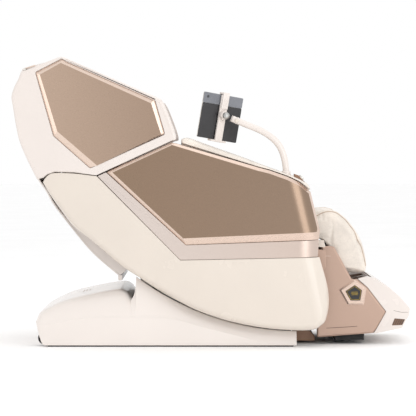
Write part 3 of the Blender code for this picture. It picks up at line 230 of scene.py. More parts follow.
def leather(name, colour, grain=420.0, rough=(0.42, 0.60), depth=0.00035):
    """Pebbled synthetic leather: cells with dark valleys, soft wrinkles, uneven shine."""
    finish = Finish(name, sheen=0.12, coat=0.06)
    bent = finish.tree.nodes.new("ShaderNodeMix")
    bent.data_type = "VECTOR"
    bent.inputs["Factor"].default_value = 0.012
    warp = finish.tree.nodes.new("ShaderNodeTexNoise")
    warp.inputs["Scale"].default_value = 55.0
    finish.link(finish.place, warp.inputs["Vector"])
    finish.link(finish.place, bent.inputs["A"])
    finish.link(warp.outputs["Color"], bent.inputs["B"])
    cells = finish.cells(grain, place=bent.outputs["Result"])
    valley = finish.span(cells, 0.0, 0.16, 0.0, 1.0)
    patch = finish.ramp(finish.noise(14.0, 5.0), [(0.3, tinted(colour, 0.88)),
                                                  (0.7, tinted(colour, 1.06))])
    dark = finish.ramp(finish.noise(14.0, 5.0), [(0.3, tinted(colour, 0.62)),
                                                 (0.7, tinted(colour, 0.74))])
    finish.colour(finish.mix(valley, dark, patch))
    finish.rough(rough[0], rough[1], 30.0)
    finish.relief(finish.noise(26.0, 4.0), 0.0014, 0.22)
    finish.relief(valley, depth, 0.55)
    return finish.material


def textured_plastic(name, colour, rough=(0.45, 0.62), grain=1500.0):
    """Spark-eroded plastic: fine grain, slight grey scuffs on the edges."""
    finish = Finish(name)
    tone = finish.ramp(finish.noise(9.0, 4.0), [(0.3, tinted(colour, 0.85)),
                                                (0.7, tinted(colour, 1.25))])
    scuff = tinted(colour, 2.2)
    finish.colour(finish.worn_edges(tone, scuff, 0.5))
    finish.rough(rough[0], rough[1], 24.0)
    finish.relief(finish.noise(grain, 2.0), 0.00012, 0.5)
    return finish.material


def coated_steel(name, colour, rough=(0.35, 0.5)):
    """Powder-coated steel with a pebbly coat and rubbed edges."""
    finish = Finish(name, metallic=0.2)
    tone = finish.ramp(finish.noise(6.0), [(0.3, tinted(colour, 0.8)), (0.7, tinted(colour, 1.2))])
    finish.colour(finish.worn_edges(tone, (0.30, 0.30, 0.30, 1.0), 0.45))
    finish.rough(rough[0], rough[1], 40.0)
    finish.relief(finish.noise(900.0, 1.0), 0.00010, 0.5)
    return finish.material


def bare_steel(name, colour):
    """Drawn zinc-plated steel, brushed along X, with faint blotches."""
    finish = Finish(name, metallic=0.95)
    blotch = finish.ramp(finish.noise(45.0, 5.0), [(0.35, tinted(colour, 0.8)),
                                                   (0.65, tinted(colour, 1.1))])
    finish.colour(blotch)
    lines = finish.noise(90.0, 2.0, finish.stretched((1.0, 18.0, 18.0)))
    finish.link(finish.span(lines, 0.3, 0.7, 0.22, 0.42), finish.shader.inputs["Roughness"])
    finish.relief(lines, 0.00005, 0.3)
    return finish.material


def rubber(name, colour):
    finish = Finish(name)
    dusty = finish.ramp(finish.noise(18.0, 5.0), [(0.35, colour), (0.75, tinted(colour, 2.4))])
    finish.colour(dusty)
    finish.rough(0.70, 0.88, 50.0)
    finish.relief(finish.noise(600.0, 2.0), 0.00020, 0.5)
    return finish.material


def dark_glass(name):
    """Touch screen glass: near black, with faint finger smears in its roughness."""
    finish = Finish(name, coat=1.0)
    tone = finish.ramp(finish.noise(4.0), [(0.3, (0.006, 0.007, 0.009, 1.0)),
                                           (0.7, (0.012, 0.013, 0.017, 1.0))])
    finish.colour(tone)
    smear = finish.noise(35.0, 4.0, finish.stretched((1.0, 1.0, 3.0)))
    finish.link(finish.span(smear, 0.5, 0.8, 0.04, 0.16), finish.shader.inputs["Roughness"])
    return finish.material


CREAM_UP = moulded_gloss("cream_upper", srgb(224, 215, 209))
CREAM_LOW = moulded_gloss("cream_lower", srgb(218, 208, 197))
CREAM_BASE = moulded_gloss("cream_base", srgb(231, 223, 217), rough=(0.19, 0.24))
# The bronze's second colour is painted shade: the hex panel darkens towards its front as its
# reflection fades.
BRONZE = satin_metal("satin_bronze", srgb(190, 165, 146), srgb(132, 108, 90))
# Painted shade: a darker copy of the same bronze, for the arm panel's face, which reflects the dark
# camera side.
BRONZE_PAINTED_SHADE = satin_metal("satin_bronze_painted_shade", srgb(148, 123, 102), srgb(146, 124, 106))
CHAMPAGNE = satin_metal("champagne", srgb(226, 205, 190), srgb(220, 196, 181), (0.24, 0.34), 0.7)
STRIP = satin_metal("strip_metal", srgb(222, 212, 206), srgb(206, 188, 177), (0.28, 0.38), 0.75)
LEG_PAINT = satin_metal("leg_panel_paint", srgb(196, 168, 152), srgb(188, 160, 144), (0.30, 0.42),
                        0.75)
LEATHER_CREAM = leather("leather_cream", srgb(241, 231, 220))
LEATHER_BROWN = leather("leather_brown", srgb(122, 84, 62))
LEATHER_PIPING = leather("leather_piping", srgb(196, 172, 150), 800.0)
LEATHER_DARK = leather("leather_dark", srgb(92, 64, 48))
PLASTIC_BLACK = textured_plastic("plastic_black", srgb(38, 38, 40))
PLASTIC_BROWN = textured_plastic("plastic_brown", srgb(120, 92, 74))
STEEL_BLACK = coated_steel("steel_black", srgb(42, 42, 44))
STEEL_ZINC = bare_steel("steel_zinc", srgb(190, 190, 188))
CHROME = bare_steel("chrome", srgb(225, 222, 216))
RUBBER = rubber("rubber_black", srgb(30, 30, 30))
GLASS = dark_glass("screen_glass")
TABLET_BLACK = textured_plastic("tablet_black", srgb(40, 39, 41), (0.35, 0.5), 2200.0)
TABLET_GREY = textured_plastic("tablet_grey", srgb(112, 114, 120), (0.3, 0.45), 2200.0)
GOLD = satin_metal("badge_gold", srgb(190, 168, 92), srgb(176, 152, 80), (0.2, 0.3), 0.9)
THREAD = textured_plastic("thread", srgb(206, 184, 160), (0.6, 0.8), 3000.0)
SEAM_DARK = textured_plastic("panel_gap", srgb(70, 58, 50))


# ---------------------------------------------------------------- mesh tools

def new_object(name, mesh):
    obj = bpy.data.objects.new(name, mesh)
    bpy.context.scene.collection.objects.link(obj)
    return obj


def mesh_object(name, points, faces):
    """A welded mesh object with its faces turned outwards."""
    mesh = bpy.data.meshes.new(name)
    mesh.from_pydata([tuple(p) for p in points], [], faces)
    work = bmesh.new()
    work.from_mesh(mesh)
    bmesh.ops.remove_doubles(work, verts=work.verts, dist=0.00001)
    bmesh.ops.dissolve_degenerate(work, dist=0.00001, edges=work.edges)
    bmesh.ops.recalc_face_normals(work, faces=work.faces)
    work.to_mesh(mesh)
    work.free()
    return new_object(name, mesh)


def settled(obj):
    """The object with its modifiers applied to its mesh."""
    bpy.context.view_layer.update()
    graph = bpy.context.evaluated_depsgraph_get()
    mesh = bpy.data.meshes.new_from_object(obj.evaluated_get(graph))
    old = obj.data
    obj.modifiers.clear()
    obj.data = mesh
    bpy.data.meshes.remove(old)
    return obj


def edge_bevel(obj, width, segments=2, angle=25.0):
    modifier = obj.modifiers.new("edges", "BEVEL")
    modifier.width = width
    modifier.segments = segments
    modifier.limit_method = "ANGLE"
    modifier.angle_limit = math.radians(angle)
    return settled(obj)


def boolean(target, tool, operation="DIFFERENCE"):
    modifier = target.modifiers.new("boolean", "BOOLEAN")
    modifier.operation = operation
    modifier.solver = "EXACT"
    modifier.object = tool
    settled(target)
    bpy.data.objects.remove(tool, do_unlink=True)
    return target


def merged(name, *parts):
    """Several mesh objects as one object of several islands; materials are set afterwards."""
    work = bmesh.new()
    for part in parts:
        work.from_mesh(part.data)
        bpy.data.objects.remove(part, do_unlink=True)
    mesh = bpy.data.meshes.new(name)
    work.to_mesh(mesh)
    work.free()
    return new_object(name, mesh)


def mirrored(obj, name):
    """The same mesh on the other side of the middle plane."""
    mesh = obj.data.copy()
    work = bmesh.new()
    work.from_mesh(mesh)
    bmesh.ops.scale(work, vec=(1.0, -1.0, 1.0), verts=work.verts)
    bmesh.ops.reverse_faces(work, faces=work.faces)
    work.to_mesh(mesh)
    work.free()
    return new_object(name, mesh)


def finished(obj, material, body, nodes=(), weighted=True):
    """Shades a piece, gives it its material, puts it on its body and hides the nodes it stands for."""
    if material is not None:
        obj.data.materials.clear()
        obj.data.materials.append(material)
    for polygon in obj.data.polygons:
        polygon.use_smooth = True
    if weighted:
        obj.modifiers.new("normals", "WEIGHTED_NORMAL").weight = 80
    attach(obj, body)
    if nodes:
        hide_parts(*nodes)
    return obj


def both_sides(obj, stem, material, body, node_stem=None, weighted=True):
    """Finishes a right-hand piece and its mirrored twin."""
    twin = mirrored(obj, stem + "_left")
    obj.name = stem + "_right"
    nodes = {side: [f"{node_stem}_{side}"] if node_stem else [] for side in ("left", "right")}
    finished(twin, material, body, nodes["left"], weighted)
    return finished(obj, material, body, nodes["right"], weighted)


def fillet(points, radius, steps=5):
    """The closed outline with each corner turned into an arc; radius is one value or one each."""
    count = len(points)
    radii = radius if isinstance(radius, (list, tuple)) else [radius] * count
    rounded = []
    for i in range(count):
        here = Vector(points[i])
        back = Vector(points[i - 1]) - here
        ahead = Vector(points[(i + 1) % count]) - here
        half = back.angle(ahead) / 2
        if radii[i] <= 0.0 or half > math.radians(87.5):
            rounded.append(tuple(here))
            continue
        reach = min(radii[i] / math.tan(half), 0.45 * back.length, 0.45 * ahead.length)
        first = here + back.normalized() * reach
        last = here + ahead.normalized() * reach
        for k in range(steps + 1):
            t = k / steps
            spot = first * (1 - t) ** 2 + here * 2 * t * (1 - t) + last * t ** 2
            rounded.append(tuple(spot))
    return rounded


def flowing(points, per=5):
    """A smooth open line through the points (Catmull-Rom)."""
    line = [Vector(p) for p in points]
    ends = [line[0] * 2 - line[1]] + line + [line[-1] * 2 - line[-2]]
    smooth = []
    for i in range(1, len(ends) - 2):
        a, b, c, d = ends[i - 1:i + 3]
        for k in range(per):
            t = k / per
            smooth.append(tuple(0.5 * (2 * b + (c - a) * t + (2 * a - 5 * b + 4 * c - d) * t ** 2
                                       + (3 * b - a - 3 * c + d) * t ** 3)))
    smooth.append(tuple(line[-1]))
    return smooth


def corner_moves(points):
    """For each corner of a closed outline, the vector that insets it by one unit."""
    count = len(points)
    area = sum(points[i][0] * points[(i + 1) % count][1] - points[(i + 1) % count][0] * points[i][1]
               for i in range(count))
    side = 1.0 if area > 0 else -1.0
    moves = []
    for i in range(count):
        here = Vector(points[i])
        into = (here - Vector(points[i - 1])).normalized()
        away = (Vector(points[(i + 1) % count]) - here).normalized()
        normal_in = Vector((-into.y, into.x)) * side
        normal_out = Vector((-away.y, away.x)) * side
        middle = (normal_in + normal_out).normalized()
        moves.append(middle / max(middle.dot(normal_in), 0.5))
    return moves


def inset(points, distance):
    moves = corner_moves(points)
    return [(p[0] + m.x * distance, p[1] + m.y * distance) for p, m in zip(points, moves)]


def lofted(name, rings, caps=True):
    """A skin over rings of the same number of points, each ring closed on itself."""
    count = len(rings[0])
    points = [p for ring in rings for p in ring]
    faces = []
    for r in range(len(rings) - 1):
        for i in range(count):
            j = (i + 1) % count
            faces.append((r * count + i, r * count + j, (r + 1) * count + j, (r + 1) * count + i))
    if caps:
        faces.append(tuple(range(count))[::-1])
        faces.append(tuple((len(rings) - 1) * count + i for i in range(count)))
    return mesh_object(name, points, faces)


def rim_rings(outline, y_in, y_out, rims, steps=5):
    """Rings of a plate's side from y_in to y_out, the last ones rounded over by each rim radius."""
    radii = rims if isinstance(rims, (list, tuple)) else [rims] * len(outline)
    moves = corner_moves(outline)
    inward = 1.0 if y_in > y_out else -1.0
    rings = []
    for k in range(steps + 1):
        turn = math.pi / 2 * k / steps
        ring = []
        for (x, z), move, radius in zip(outline, moves, radii):
            reach = radius * (1 - math.cos(turn))
            ring.append((x + move.x * reach, y_out + inward * radius * (1 - math.sin(turn)),
                         z + move.y * reach))
        rings.append(ring)
    return rings


def plate(name, outline, y_in, y_out, rims=0.003, inner_rim=0.0, steps=5):
    """A flat part with an XZ outline, its y_out face rounded over at the rim."""
    rings = rim_rings(outline, y_in, y_out, rims, steps)
    if inner_rim:
        rings = rim_rings(outline, y_out, y_in, inner_rim, 3)[::-1] + rings
    else:
        rings = [[(x, y_in, z) for x, z in outline]] + rings
    return lofted(name, rings)


def chamfered(name, outer, inner, y_in, y_edge, y_face):
    """A raised panel: a plain wall, a flat chamfer from outer to inner, and its face."""
    return lofted(name, [
        [(x, y_in, z) for x, z in outer], [(x, y_edge, z) for x, z in outer],
        [(x, y_face, z) for x, z in inner]])


def wrapped(obj, edge_x, slope, edge_z, width=0.085, depth=0.050, cuts=16):
    """Bends the part's front inwards: its edge is the line x = edge_x + slope (z - edge_z)."""
    work = bmesh.new()
    work.from_mesh(obj.data)
    for k in range(cuts + 1):
        at = (edge_x - width + width * k / cuts, 0.0, edge_z)
        geometry = work.verts[:] + work.edges[:] + work.faces[:]
        bmesh.ops.bisect_plane(work, geom=geometry, dist=0.00002, plane_co=at,
                               plane_no=Vector((1.0, 0.0, -slope)).normalized())
    radius = (width ** 2 + depth ** 2) / (2 * depth)
    for vert in work.verts:
        x, y, z = vert.co
        past = x - (edge_x + slope * (z - edge_z) - width)
        if past > 0:
            past = min(past, width * 1.05)
            vert.co.y = y + radius - math.sqrt(radius ** 2 - past ** 2)
    work.to_mesh(obj.data)
    work.free()
    return obj


def box_solid(name, low, high, bevel=0.002, segments=3):
    corners = [(low[0], low[2]), (high[0], low[2]), (high[0], high[2]), (low[0], high[2])]
    solid = plate(name, corners, low[1], high[1], 0.0, steps=1)
    return edge_bevel(solid, bevel, segments) if bevel else solid


def turned(name, start, end, profile, segments=48):
    """A turned solid from start to end; the profile is (distance along, radius) pairs."""
    start, end = Vector(start), Vector(end)
    turn = Vector((0, 0, 1)).rotation_difference(end - start).to_matrix()
    rings = []
    for along, radius in profile:
        ring = []
        for k in range(segments):
            angle = 2 * math.pi * k / segments
            spot = Vector((radius * math.cos(angle), radius * math.sin(angle), along))
            ring.append(start + turn @ spot)
        rings.append(ring)
    return lofted(name, rings)


def wire(name, points, radius, closed=False, sides=8):
    """A thin round bead along a line of points, as a mesh."""
    line = [Vector(p) for p in points]
    rings = []
    normal = None
    for i, spot in enumerate(line):
        before = line[i - 1] if i or closed else spot
        after = line[(i + 1) % len(line)] if i + 1 < len(line) or closed else spot
        along = (after - before).normalized()
        if normal is None:
            normal = along.orthogonal().normalized()
        normal = (normal - along * normal.dot(along)).normalized()
        across = along.cross(normal)
        rings.append([spot + (normal * math.cos(2 * math.pi * k / sides)
                              + across * math.sin(2 * math.pi * k / sides)) * radius
                      for k in range(sides)])
    if closed:
        rings.append(rings[0])
        return lofted(name, rings, caps=False)
    return lofted(name, rings)


def arc(radius, start, end, count):
    """Points about the body's arc centre; degrees from straight down, positive to the rear."""
    points = []
    for i in range(count):
        angle = math.radians(start + (end - start) * i / (count - 1))
        points.append((ARC_X - radius * math.sin(angle), ARC_Z - radius * math.cos(angle)))
    return points


def offset_line(points, distance):
    """An open line moved sideways, to the left of its direction for a positive distance."""
    moved = []
    for i in range(len(points)):
        before = Vector(points[max(i - 1, 0)])
        after = Vector(points[min(i + 1, len(points) - 1)])
        along = (after - before).normalized()
        moved.append((points[i][0] - along.y * distance, points[i][1] + along.x * distance))
    return moved


def between(table, x):
    """Linear interpolation in a table of (x, value) pairs."""
    if x <= table[0][0]:
        return table[0][1]
    for (x0, v0), (x1, v1) in zip(table, table[1:]):
        if x <= x1:
            return v0 + (v1 - v0) * (x - x0) / (x1 - x0)
    return table[-1][1]


def back_point(s, offset, y=0.0):
    """A point s along the back and offset in front of the back pad's front line."""
    return Vector((BACK_X, y, BACK_Z)) + BACK_U * s + BACK_N * offset


# ---------------------------------------------------------------- side shells

REAR_EDGE = [
    (-0.774, 1.133), (-0.787, 1.096), (-0.805, 1.060), (-0.817, 1.019), (-0.811, 0.976),
    (-0.800, 0.906), (-0.787, 0.845), (-0.771, 0.802), (-0.753, 0.761), (-0.714, 0.683),
    (-0.682, 0.636), (-0.651, 0.576), (-0.609, 0.519), (-0.528, 0.418), (-0.473, 0.360),
    (-0.386, 0.286),
]
LOWER_EDGE = [
    (-0.688, 0.672), (-0.654, 0.613), (-0.602, 0.541), (-0.559, 0.488), (-0.481, 0.427),
    (-0.378, 0.338), (-0.310, 0.293), (-0.204, 0.229), (-0.098, 0.167), (0.010, 0.124),
    (0.119, 0.095), (0.228, 0.077), (0.348, 0.069), (0.413, 0.073), (0.443, 0.091),
    (0.461, 0.112), (0.475, 0.179), (0.467, 0.255), (0.436, 0.364),
]


def lower_skin():
    """Cream lower side: large soft radius below and behind, tight joint under the trim strip."""
    edge = flowing(LOWER_EDGE, 4)
    seam = flowing([(-0.4700, 0.6975), (-0.560, 0.7080), (-0.640, 0.7105), (-0.667, 0.7010),
                    (-0.682, 0.6850)], 3)
    outline = seam + edge + [(0.4335, 0.3672), (-0.1310, 0.3558)]
    rims = [0.0035] * len(seam) + [0.024] * len(edge) + [0.0015, 0.0015]
    for i in range(6):
        rims[len(seam) + i] = 0.0035 + (0.024 - 0.0035) * i / 6
        rims[len(seam) + len(edge) - 1 - i] = 0.0015 + (0.024 - 0.0015) * i / 6
    skin = plate("lower_skin", outline, -0.3675, -0.4060, rims, steps=7)
    skin = wrapped(skin, 0.475, -0.2, 0.179, 0.080, 0.034)
    web_line = arc(1.1130, 64.0, -2.5, 40)
    web_line += flowing([(0.425, 0.085), (0.440, 0.115), (0.450, 0.180), (0.442, 0.250),
                         (0.415, 0.360)], 4)
    web_line += [(0.395, 0.440), (0.395, 0.520), (0.270, 0.560), (-0.120, 0.700),
                 (-0.470, 0.680)]
    web = wrapped(plate("web", web_line, -0.3668, -0.3260, 0.004), 0.475, -0.2, 0.179,
                  0.080, 0.034)
    post_line = fillet([(0.272, 0.405), (0.412, 0.400), (0.4220, 0.470), (0.3940, 0.615),
                        (0.354, 0.652), (0.272, 0.680)], [0, 0.010, 0.03, 0.03, 0.02, 0])
    post = plate("post", post_line, -0.3560, -0.2620, 0.010)
    return both_sides(merged("side_shell_parts", skin, web, post), "side_shell_body", CREAM_LOW,
                      "chair", "side_shell")


def trim_strip():
    outline = fillet([
        (-0.4665, 0.6975), (-0.1310, 0.3572), (0.4290, 0.3682), (0.4330, 0.4400),
        (0.412, 0.4368), (-0.1090, 0.4172), (-0.4325, 0.7130)],
        [0.002, 0.010, 0.006, 0.004, 0.004, 0.006, 0.002])
    strip = plate("trim_strip", outline, -0.3685, -0.4075, 0.0018, steps=4)
    strip = wrapped(strip, 0.434, 0.0, 0.40)
    return both_sides(strip, "trim_strip_bright", STRIP, "chair", "trim_strip")


ARM_OUTER = [
    (-0.1655, 0.8340), (-0.4290, 0.7135), (-0.1088, 0.4185), (0.412, 0.4385), (0.4330, 0.4412),
    (0.4370, 0.4760), (0.3990, 0.6330), (0.3540, 0.6710), (0.3030, 0.6945), (0.2320, 0.7200),
    (0.1860, 0.7320),
]
ARM_INNER = [
    (-0.1640, 0.8235), (-0.4060, 0.7120), (-0.1195, 0.4450), (0.412, 0.4690), (0.4230, 0.4705),
    (0.4262, 0.4830), (0.3905, 0.6265), (0.3490, 0.6590), (0.3000, 0.6825), (0.2300, 0.7075),
    (0.1840, 0.7190),
]


def arm_panel():
    """Bronze armrest side with a flat chamfer all round; its front rolls inwards."""
    panel = chamfered("arm_panel", ARM_OUTER, ARM_INNER, -0.3685, -0.4020, -0.4105)
    panel = wrapped(panel, 0.4370, -0.24, 0.476)
    panel = edge_bevel(panel, 0.0014, 3, 13.0)
    # The face takes the darker copy of the bronze, which is painted shade.
    painted_pair(panel, "arm_panel", BRONZE_PAINTED_SHADE, inset(ARM_INNER, 0.0004))


def inside(outline, x, z):
    """Whether a point lies inside a closed outline."""
    odd = False
    for i in range(len(outline)):
        (x0, z0), (x1, z1) = outline[i - 1], outline[i]
        if (z0 > z) != (z1 > z) and x < (x1 - x0) * (z - z0) / (z1 - z0) + x0:
            odd = not odd
    return odd


def paint_inside(obj, outline, index):
    """Gives another material to the outward faces whose centres lie inside an XZ outline."""
    for polygon in obj.data.polygons:
        x, _, z = polygon.center
        outward = polygon.normal.y < -0.3 or polygon.normal.x > 0.5
        polygon.material_index = index if outward and inside(outline, x, z) else 0


def painted_pair(panel, stem, face, outline):
    """A panel and its twin with champagne chamfers and another finish inside the outline."""
    panel.data.materials.append(CHAMPAGNE)
    panel.data.materials.append(face)
    paint_inside(panel, outline, 1)
    both_sides(panel, stem + "_bronze", None, "chair", stem)


# ---------------------------------------------------------------- shoulder

SHOULDER_LOW = [(-0.1685, 0.8400), (-0.1485, 0.8600), (-0.1980, 0.9920), (-0.2240, 1.0160)]
HEX_OUTER = [
    (-0.612, 1.173), (-0.719, 1.118), (-0.646, 0.860), (-0.497, 0.728), (-0.192, 0.866),
    (-0.234, 1.011),
]
HEX_INNER = [
    (-0.614, 1.1555), (-0.699, 1.108), (-0.629, 0.8785), (-0.468, 0.7400), (-0.209, 0.8675),
    (-0.249, 0.9920),
]


def shoulder_outline():
    rear = flowing([(x, z) for x, z in offset_line(REAR_EDGE[:10], 0.0020)], 3)
    top = [(-0.6020, 1.1790), (-0.6130, 1.1815), (-0.6240, 1.1785)]
    seam = [(-0.6875, 0.6900), (-0.6680, 0.7045), (-0.6400, 0.7140), (-0.5600, 0.7115),
            (-0.4715, 0.7005)]
    corner = flowing(SHOULDER_LOW, 4)
    return corner + top + rear[1:] + seam


def shoulder_shell():
    """Upper cream shell with a six-sided mouth for the bronze panel."""
    outline = shoulder_outline()
    rims = []
    for x, z in outline:
        seam = z < 0.845 and x > -0.66 and z < 0.7005 + (x + 0.4715) * 0.47 + 0.02
        rims.append(0.0035 if seam else 0.011)
    skin = plate("skin", outline, -0.3672, -0.4105, rims, steps=6)
    mouth = plate("mouth", fillet(HEX_OUTER, 0.010, 4), -0.50, -0.4000, 0.0, steps=1)
    skin = boolean(skin, mouth)
    skin = edge_bevel(skin, 0.0016, 3, 50.0)
    inner_rear = flowing(offset_line(REAR_EDGE[:10], 0.0180), 3)
    rim_line = [(-0.602, 1.1745), (-0.625, 1.1585), (-0.742, 1.109), *inner_rear[3:],
                (-0.640, 0.725), (-0.4715, 0.7080), (-0.200, 0.8320), (-0.158, 0.860),
                (-0.205, 0.985), (-0.232, 1.010)]
    rim = plate("rim", fillet(rim_line, 0.006, 3), -0.3668, -0.3000, 0.006)
    return both_sides(merged("shoulder_shell_parts", skin, rim), "shoulder_shell_body", CREAM_UP,
                      "chair", "shoulder_shell")


def shoulder_panel():
    """Bronze six-sided panel with polished chamfers, raised in the mouth."""
    outer = fillet(inset(HEX_OUTER, 0.0022), 0.008, 4)
    inner = fillet(HEX_INNER, 0.003, 4)
    panel = chamfered("shoulder_panel", outer, inner, -0.4003, -0.4040, -0.4125)
    panel = edge_bevel(panel, 0.0009, 2, 12.0)
    painted_pair(panel, "shoulder_panel", BRONZE, inset(HEX_INNER, 0.0003))


def head_lining():
    """Padded strip that closes the head end between the back pad and the rear cover."""
    section = fillet([(-0.6480, 1.0700), (-0.6340, 1.0700), (-0.6250, 1.1150), (-0.6290, 1.1585),
                      (-0.6430, 1.1560)], [0.004, 0.005, 0.040, 0.006, 0.004], 6)
    strip = plate("head_lining_strip", section, 0.2360, -0.2360, 0.006, 0.006)
    finished(strip, LEATHER_BROWN, "chair")
    line = [(-0.6265, y / 100, 1.1140) for y in range(-23, 24)]
    stitches("head_lining_stitches", strip, [line], THREAD, "chair")


def shoulder_beads():
    """Two raised lines along the wing's front edge, and a champagne bar on its top rear corner."""
    front = [(-0.1560, 0.8680), (-0.2040, 0.9900), (-0.2290, 1.0110), (-0.4200, 1.0960),
             (-0.5930, 1.1720)]
    for number, (step, y) in enumerate(((0.0, -0.4085), (0.0085, -0.4102))):
        line = offset_line(front, step)
        points = [(x, y, z) for x, z in flowing(line, 6)]
        bead = wire("wing_bead", points, 0.0011)
        both_sides(bead, f"wing_bead_{number}", CREAM_UP, "chair")
    bar_line = [(-0.7580, -0.4000, 1.1330), (-0.7400, -0.4040, 1.1390), (-0.7180, -0.4040, 1.1460)]
    bar = wire("bar", bar_line, 0.0024)
    both_sides(bar, "wing_bar", CHAMPAGNE, "chair")
    stud = turned("stud", (-0.7590, -0.3980, 1.1290), (-0.7610, -0.4080, 1.1290),
                  [(0.0, 0.0050), (0.0085, 0.0050), (0.0102, 0.0038)], 24)
    both_sides(stud, "wing_stud", CHROME, "chair")


# ---------------------------------------------------------------- rear cover

COVER_LINE = [(-0.630, 1.1740), (-0.700, 1.1560), (-0.752, 1.1420)] + REAR_EDGE
COVER_HALF = [(0.50, 0.2990), (0.53, 0.3010), (0.57, 0.3200), (0.61, 0.3450), (0.65, 0.3600),
              (0.68, 0.3635)]
COVER_DEPTH = 0.009
SEAM_Z = 0.700


def cover_columns(half):
    """(y, depth) pairs across the outer face, from the right edge to the left one."""
    side = [(1.0, 0.0, 0.0090), (1.0, 0.0004, 0.0052), (1.0, 0.0022, 0.0026), (1.0, 0.0060, 0.0012),
            (1.0, 0.0150, 0.0008), (0.82, 0.0, 0.0006), (0.62, 0.0, 0.0004)]
    ridge = [(0.395, 0.0, 0.0003), (0.375, 0.0, -0.0012), (0.355, 0.0, 0.0022), (0.20, 0.0, 0.0018)]
    right = [(-(half * f - back), depth) for f, back, depth in side + ridge]
    return right + [(0.0, 0.0016)] + [(-y, d) for y, d in right[::-1]]


def back_cover():
    """Rear skin: crowned across, a ridge each side of a sunk middle panel, one cross joint."""
    line = []
    dense = flowing(COVER_LINE, 8)
    for spot in dense:
        line.append(spot)
        step = spot[1] - SEAM_Z
        if 0 < step < 0.012:
            line.append((spot[0] + 0.0005, spot[1] - 0.0015))
    normals = offset_line(line, 1.0)
    rings = []
    for (x, z), (nx, nz) in zip(line, normals):
        half = between(COVER_HALF, z)
        into = Vector((nx - x, nz - z)).normalized()
        groove = 0.0018 * math.exp(-((z - SEAM_Z) / 0.0022) ** 2)
        columns = cover_columns(half)
        ring = [(x + into.x * (d + groove), y, z + into.y * (d + groove)) for y, d in columns]
        for y, _ in columns[::-1]:
            inner_y = max(min(y, half - 0.003), -half + 0.003)
            ring.append((x + into.x * COVER_DEPTH, inner_y, z + into.y * COVER_DEPTH))
        rings.append(ring)
    cover = lofted("back_cover_skin", rings)
    lip = plate("lip", fillet([(-0.3880, 0.2900), (-0.3880, 0.2680), (-0.3710, 0.2680),
                               (-0.3710, 0.2900)], 0.003, 3), 0.2990, -0.2990, 0.002, 0.002)
    cover = merged("back_cover_skin", cover, lip)
    finished(cover, CREAM_UP, "chair", ["back_cover"])
    cover_cheeks()
    cover_details()


def cover_cheeks():
    """Side walls that close the narrow lower part of the rear cover, and a cover by each knee.

    The left wall is cut back to an arc, so that it passes the actuator's mount.
    """
    outer = [spot for spot in flowing(REAR_EDGE[10:], 4) if spot[1] < 0.600]
    head = [(-0.5950, 0.5650), (-0.6560, 0.6400)]
    full = [(-0.3560, 0.3060), (-0.3720, 0.3560), (-0.4700, 0.4400), (-0.5500, 0.5050)]
    for side, sign, low in (("right", -1, full), ("left", 1, arc(1.1500, 39.6, 51.0, 6))):
        outline = offset_line(outer, 0.0012) + flowing(low + head, 4)[:-3]
        cheek = plate(f"rear_cover_cheek_{side}", outline, sign * 0.2957, sign * 0.2988, 0.0012)
        finished(cheek, CREAM_UP, "chair")
    knee = fillet([(0.3900, 0.4040), (0.4645, 0.3910), (0.4645, 0.3280), (0.4080, 0.2080),
                   (0.3700, 0.2080)], 0.005, 3)
    both_sides(plate("knee", knee, -0.3060, -0.3110, 0.0015), "knee_cover", LEG_PAINT, "chair")
    fill = fillet([(0.3900, 0.4075), (0.4630, 0.4045), (0.4560, 0.4330), (0.3900, 0.4400)], 0.004, 3)
    both_sides(plate("fill", fill, -0.3060, -0.3110, 0.0015), "knee_fill", CREAM_LOW, "chair")


def cover_details():
    """Vent louvres and fixing plugs on the rear skin."""
    louvres = []
    for row in range(7):
        z = 0.838 + 0.016 * row
        x = -0.7845 - (z - 0.838) * 0.165
        slat = box_solid("slat", (-0.0035, -0.062 + 0.003 * row, -0.0022),
                         (0.0015, 0.062 - 0.003 * row, 0.0022), 0.0012, 3)
        tilt = Matrix.Rotation(-0.17, 4, "Y")
        slat.data.transform(Matrix.Translation((x + 0.0018, 0.0, z)) @ tilt)
        louvres.append(slat)
    finished(merged("vent_louvres", *louvres), PLASTIC_BROWN, "chair")
    plugs = []
    for y in (-0.26, 0.26):
        for x, z, dx, dz in ((-0.8040, 0.960, -0.98, 0.17), (-0.7040, 0.672, -0.87, -0.49)):
            start = Vector((x + 0.004, y, z))
            plugs.append(turned("plug", start, start + Vector((dx, 0.0, dz)) * 0.01,
                                [(0.0, 0.0070), (0.0052, 0.0070), (0.0060, 0.0062),
                                 (0.0060, 0.0030), (0.0052, 0.0022)], 24))
    finished(merged("cover_plugs", *plugs), CREAM_LOW, "chair")


# ---------------------------------------------------------------- base

CREASE = [(-0.7225, 0.0930), (-0.6950, 0.0890), (-0.6320, 0.1010), (-0.5580, 0.1140),
          (-0.4690, 0.1205), (-0.3470, 0.1215), (-0.1700, 0.1150), (-0.0480, 0.0840),
          (0.1140, 0.0430), (0.2510, 0.0120), (0.3440, 0.0090)]
FLANGE_R = 1.1205
FLOOR_GAP = 0.0055


def flange_top(x):
    rear = [(-0.3350, 0.190), (-0.3290, 0.1975), (-0.3230, 0.2085), (-0.3180, 0.2260),
            (-0.3150, 0.2440), (-0.3138, 0.2670), (-0.3130, 0.2856)]
    if x < -0.3130:
        return between(rear, x)
    return ARC_Z - math.sqrt(FLANGE_R ** 2 - (x - ARC_X) ** 2)


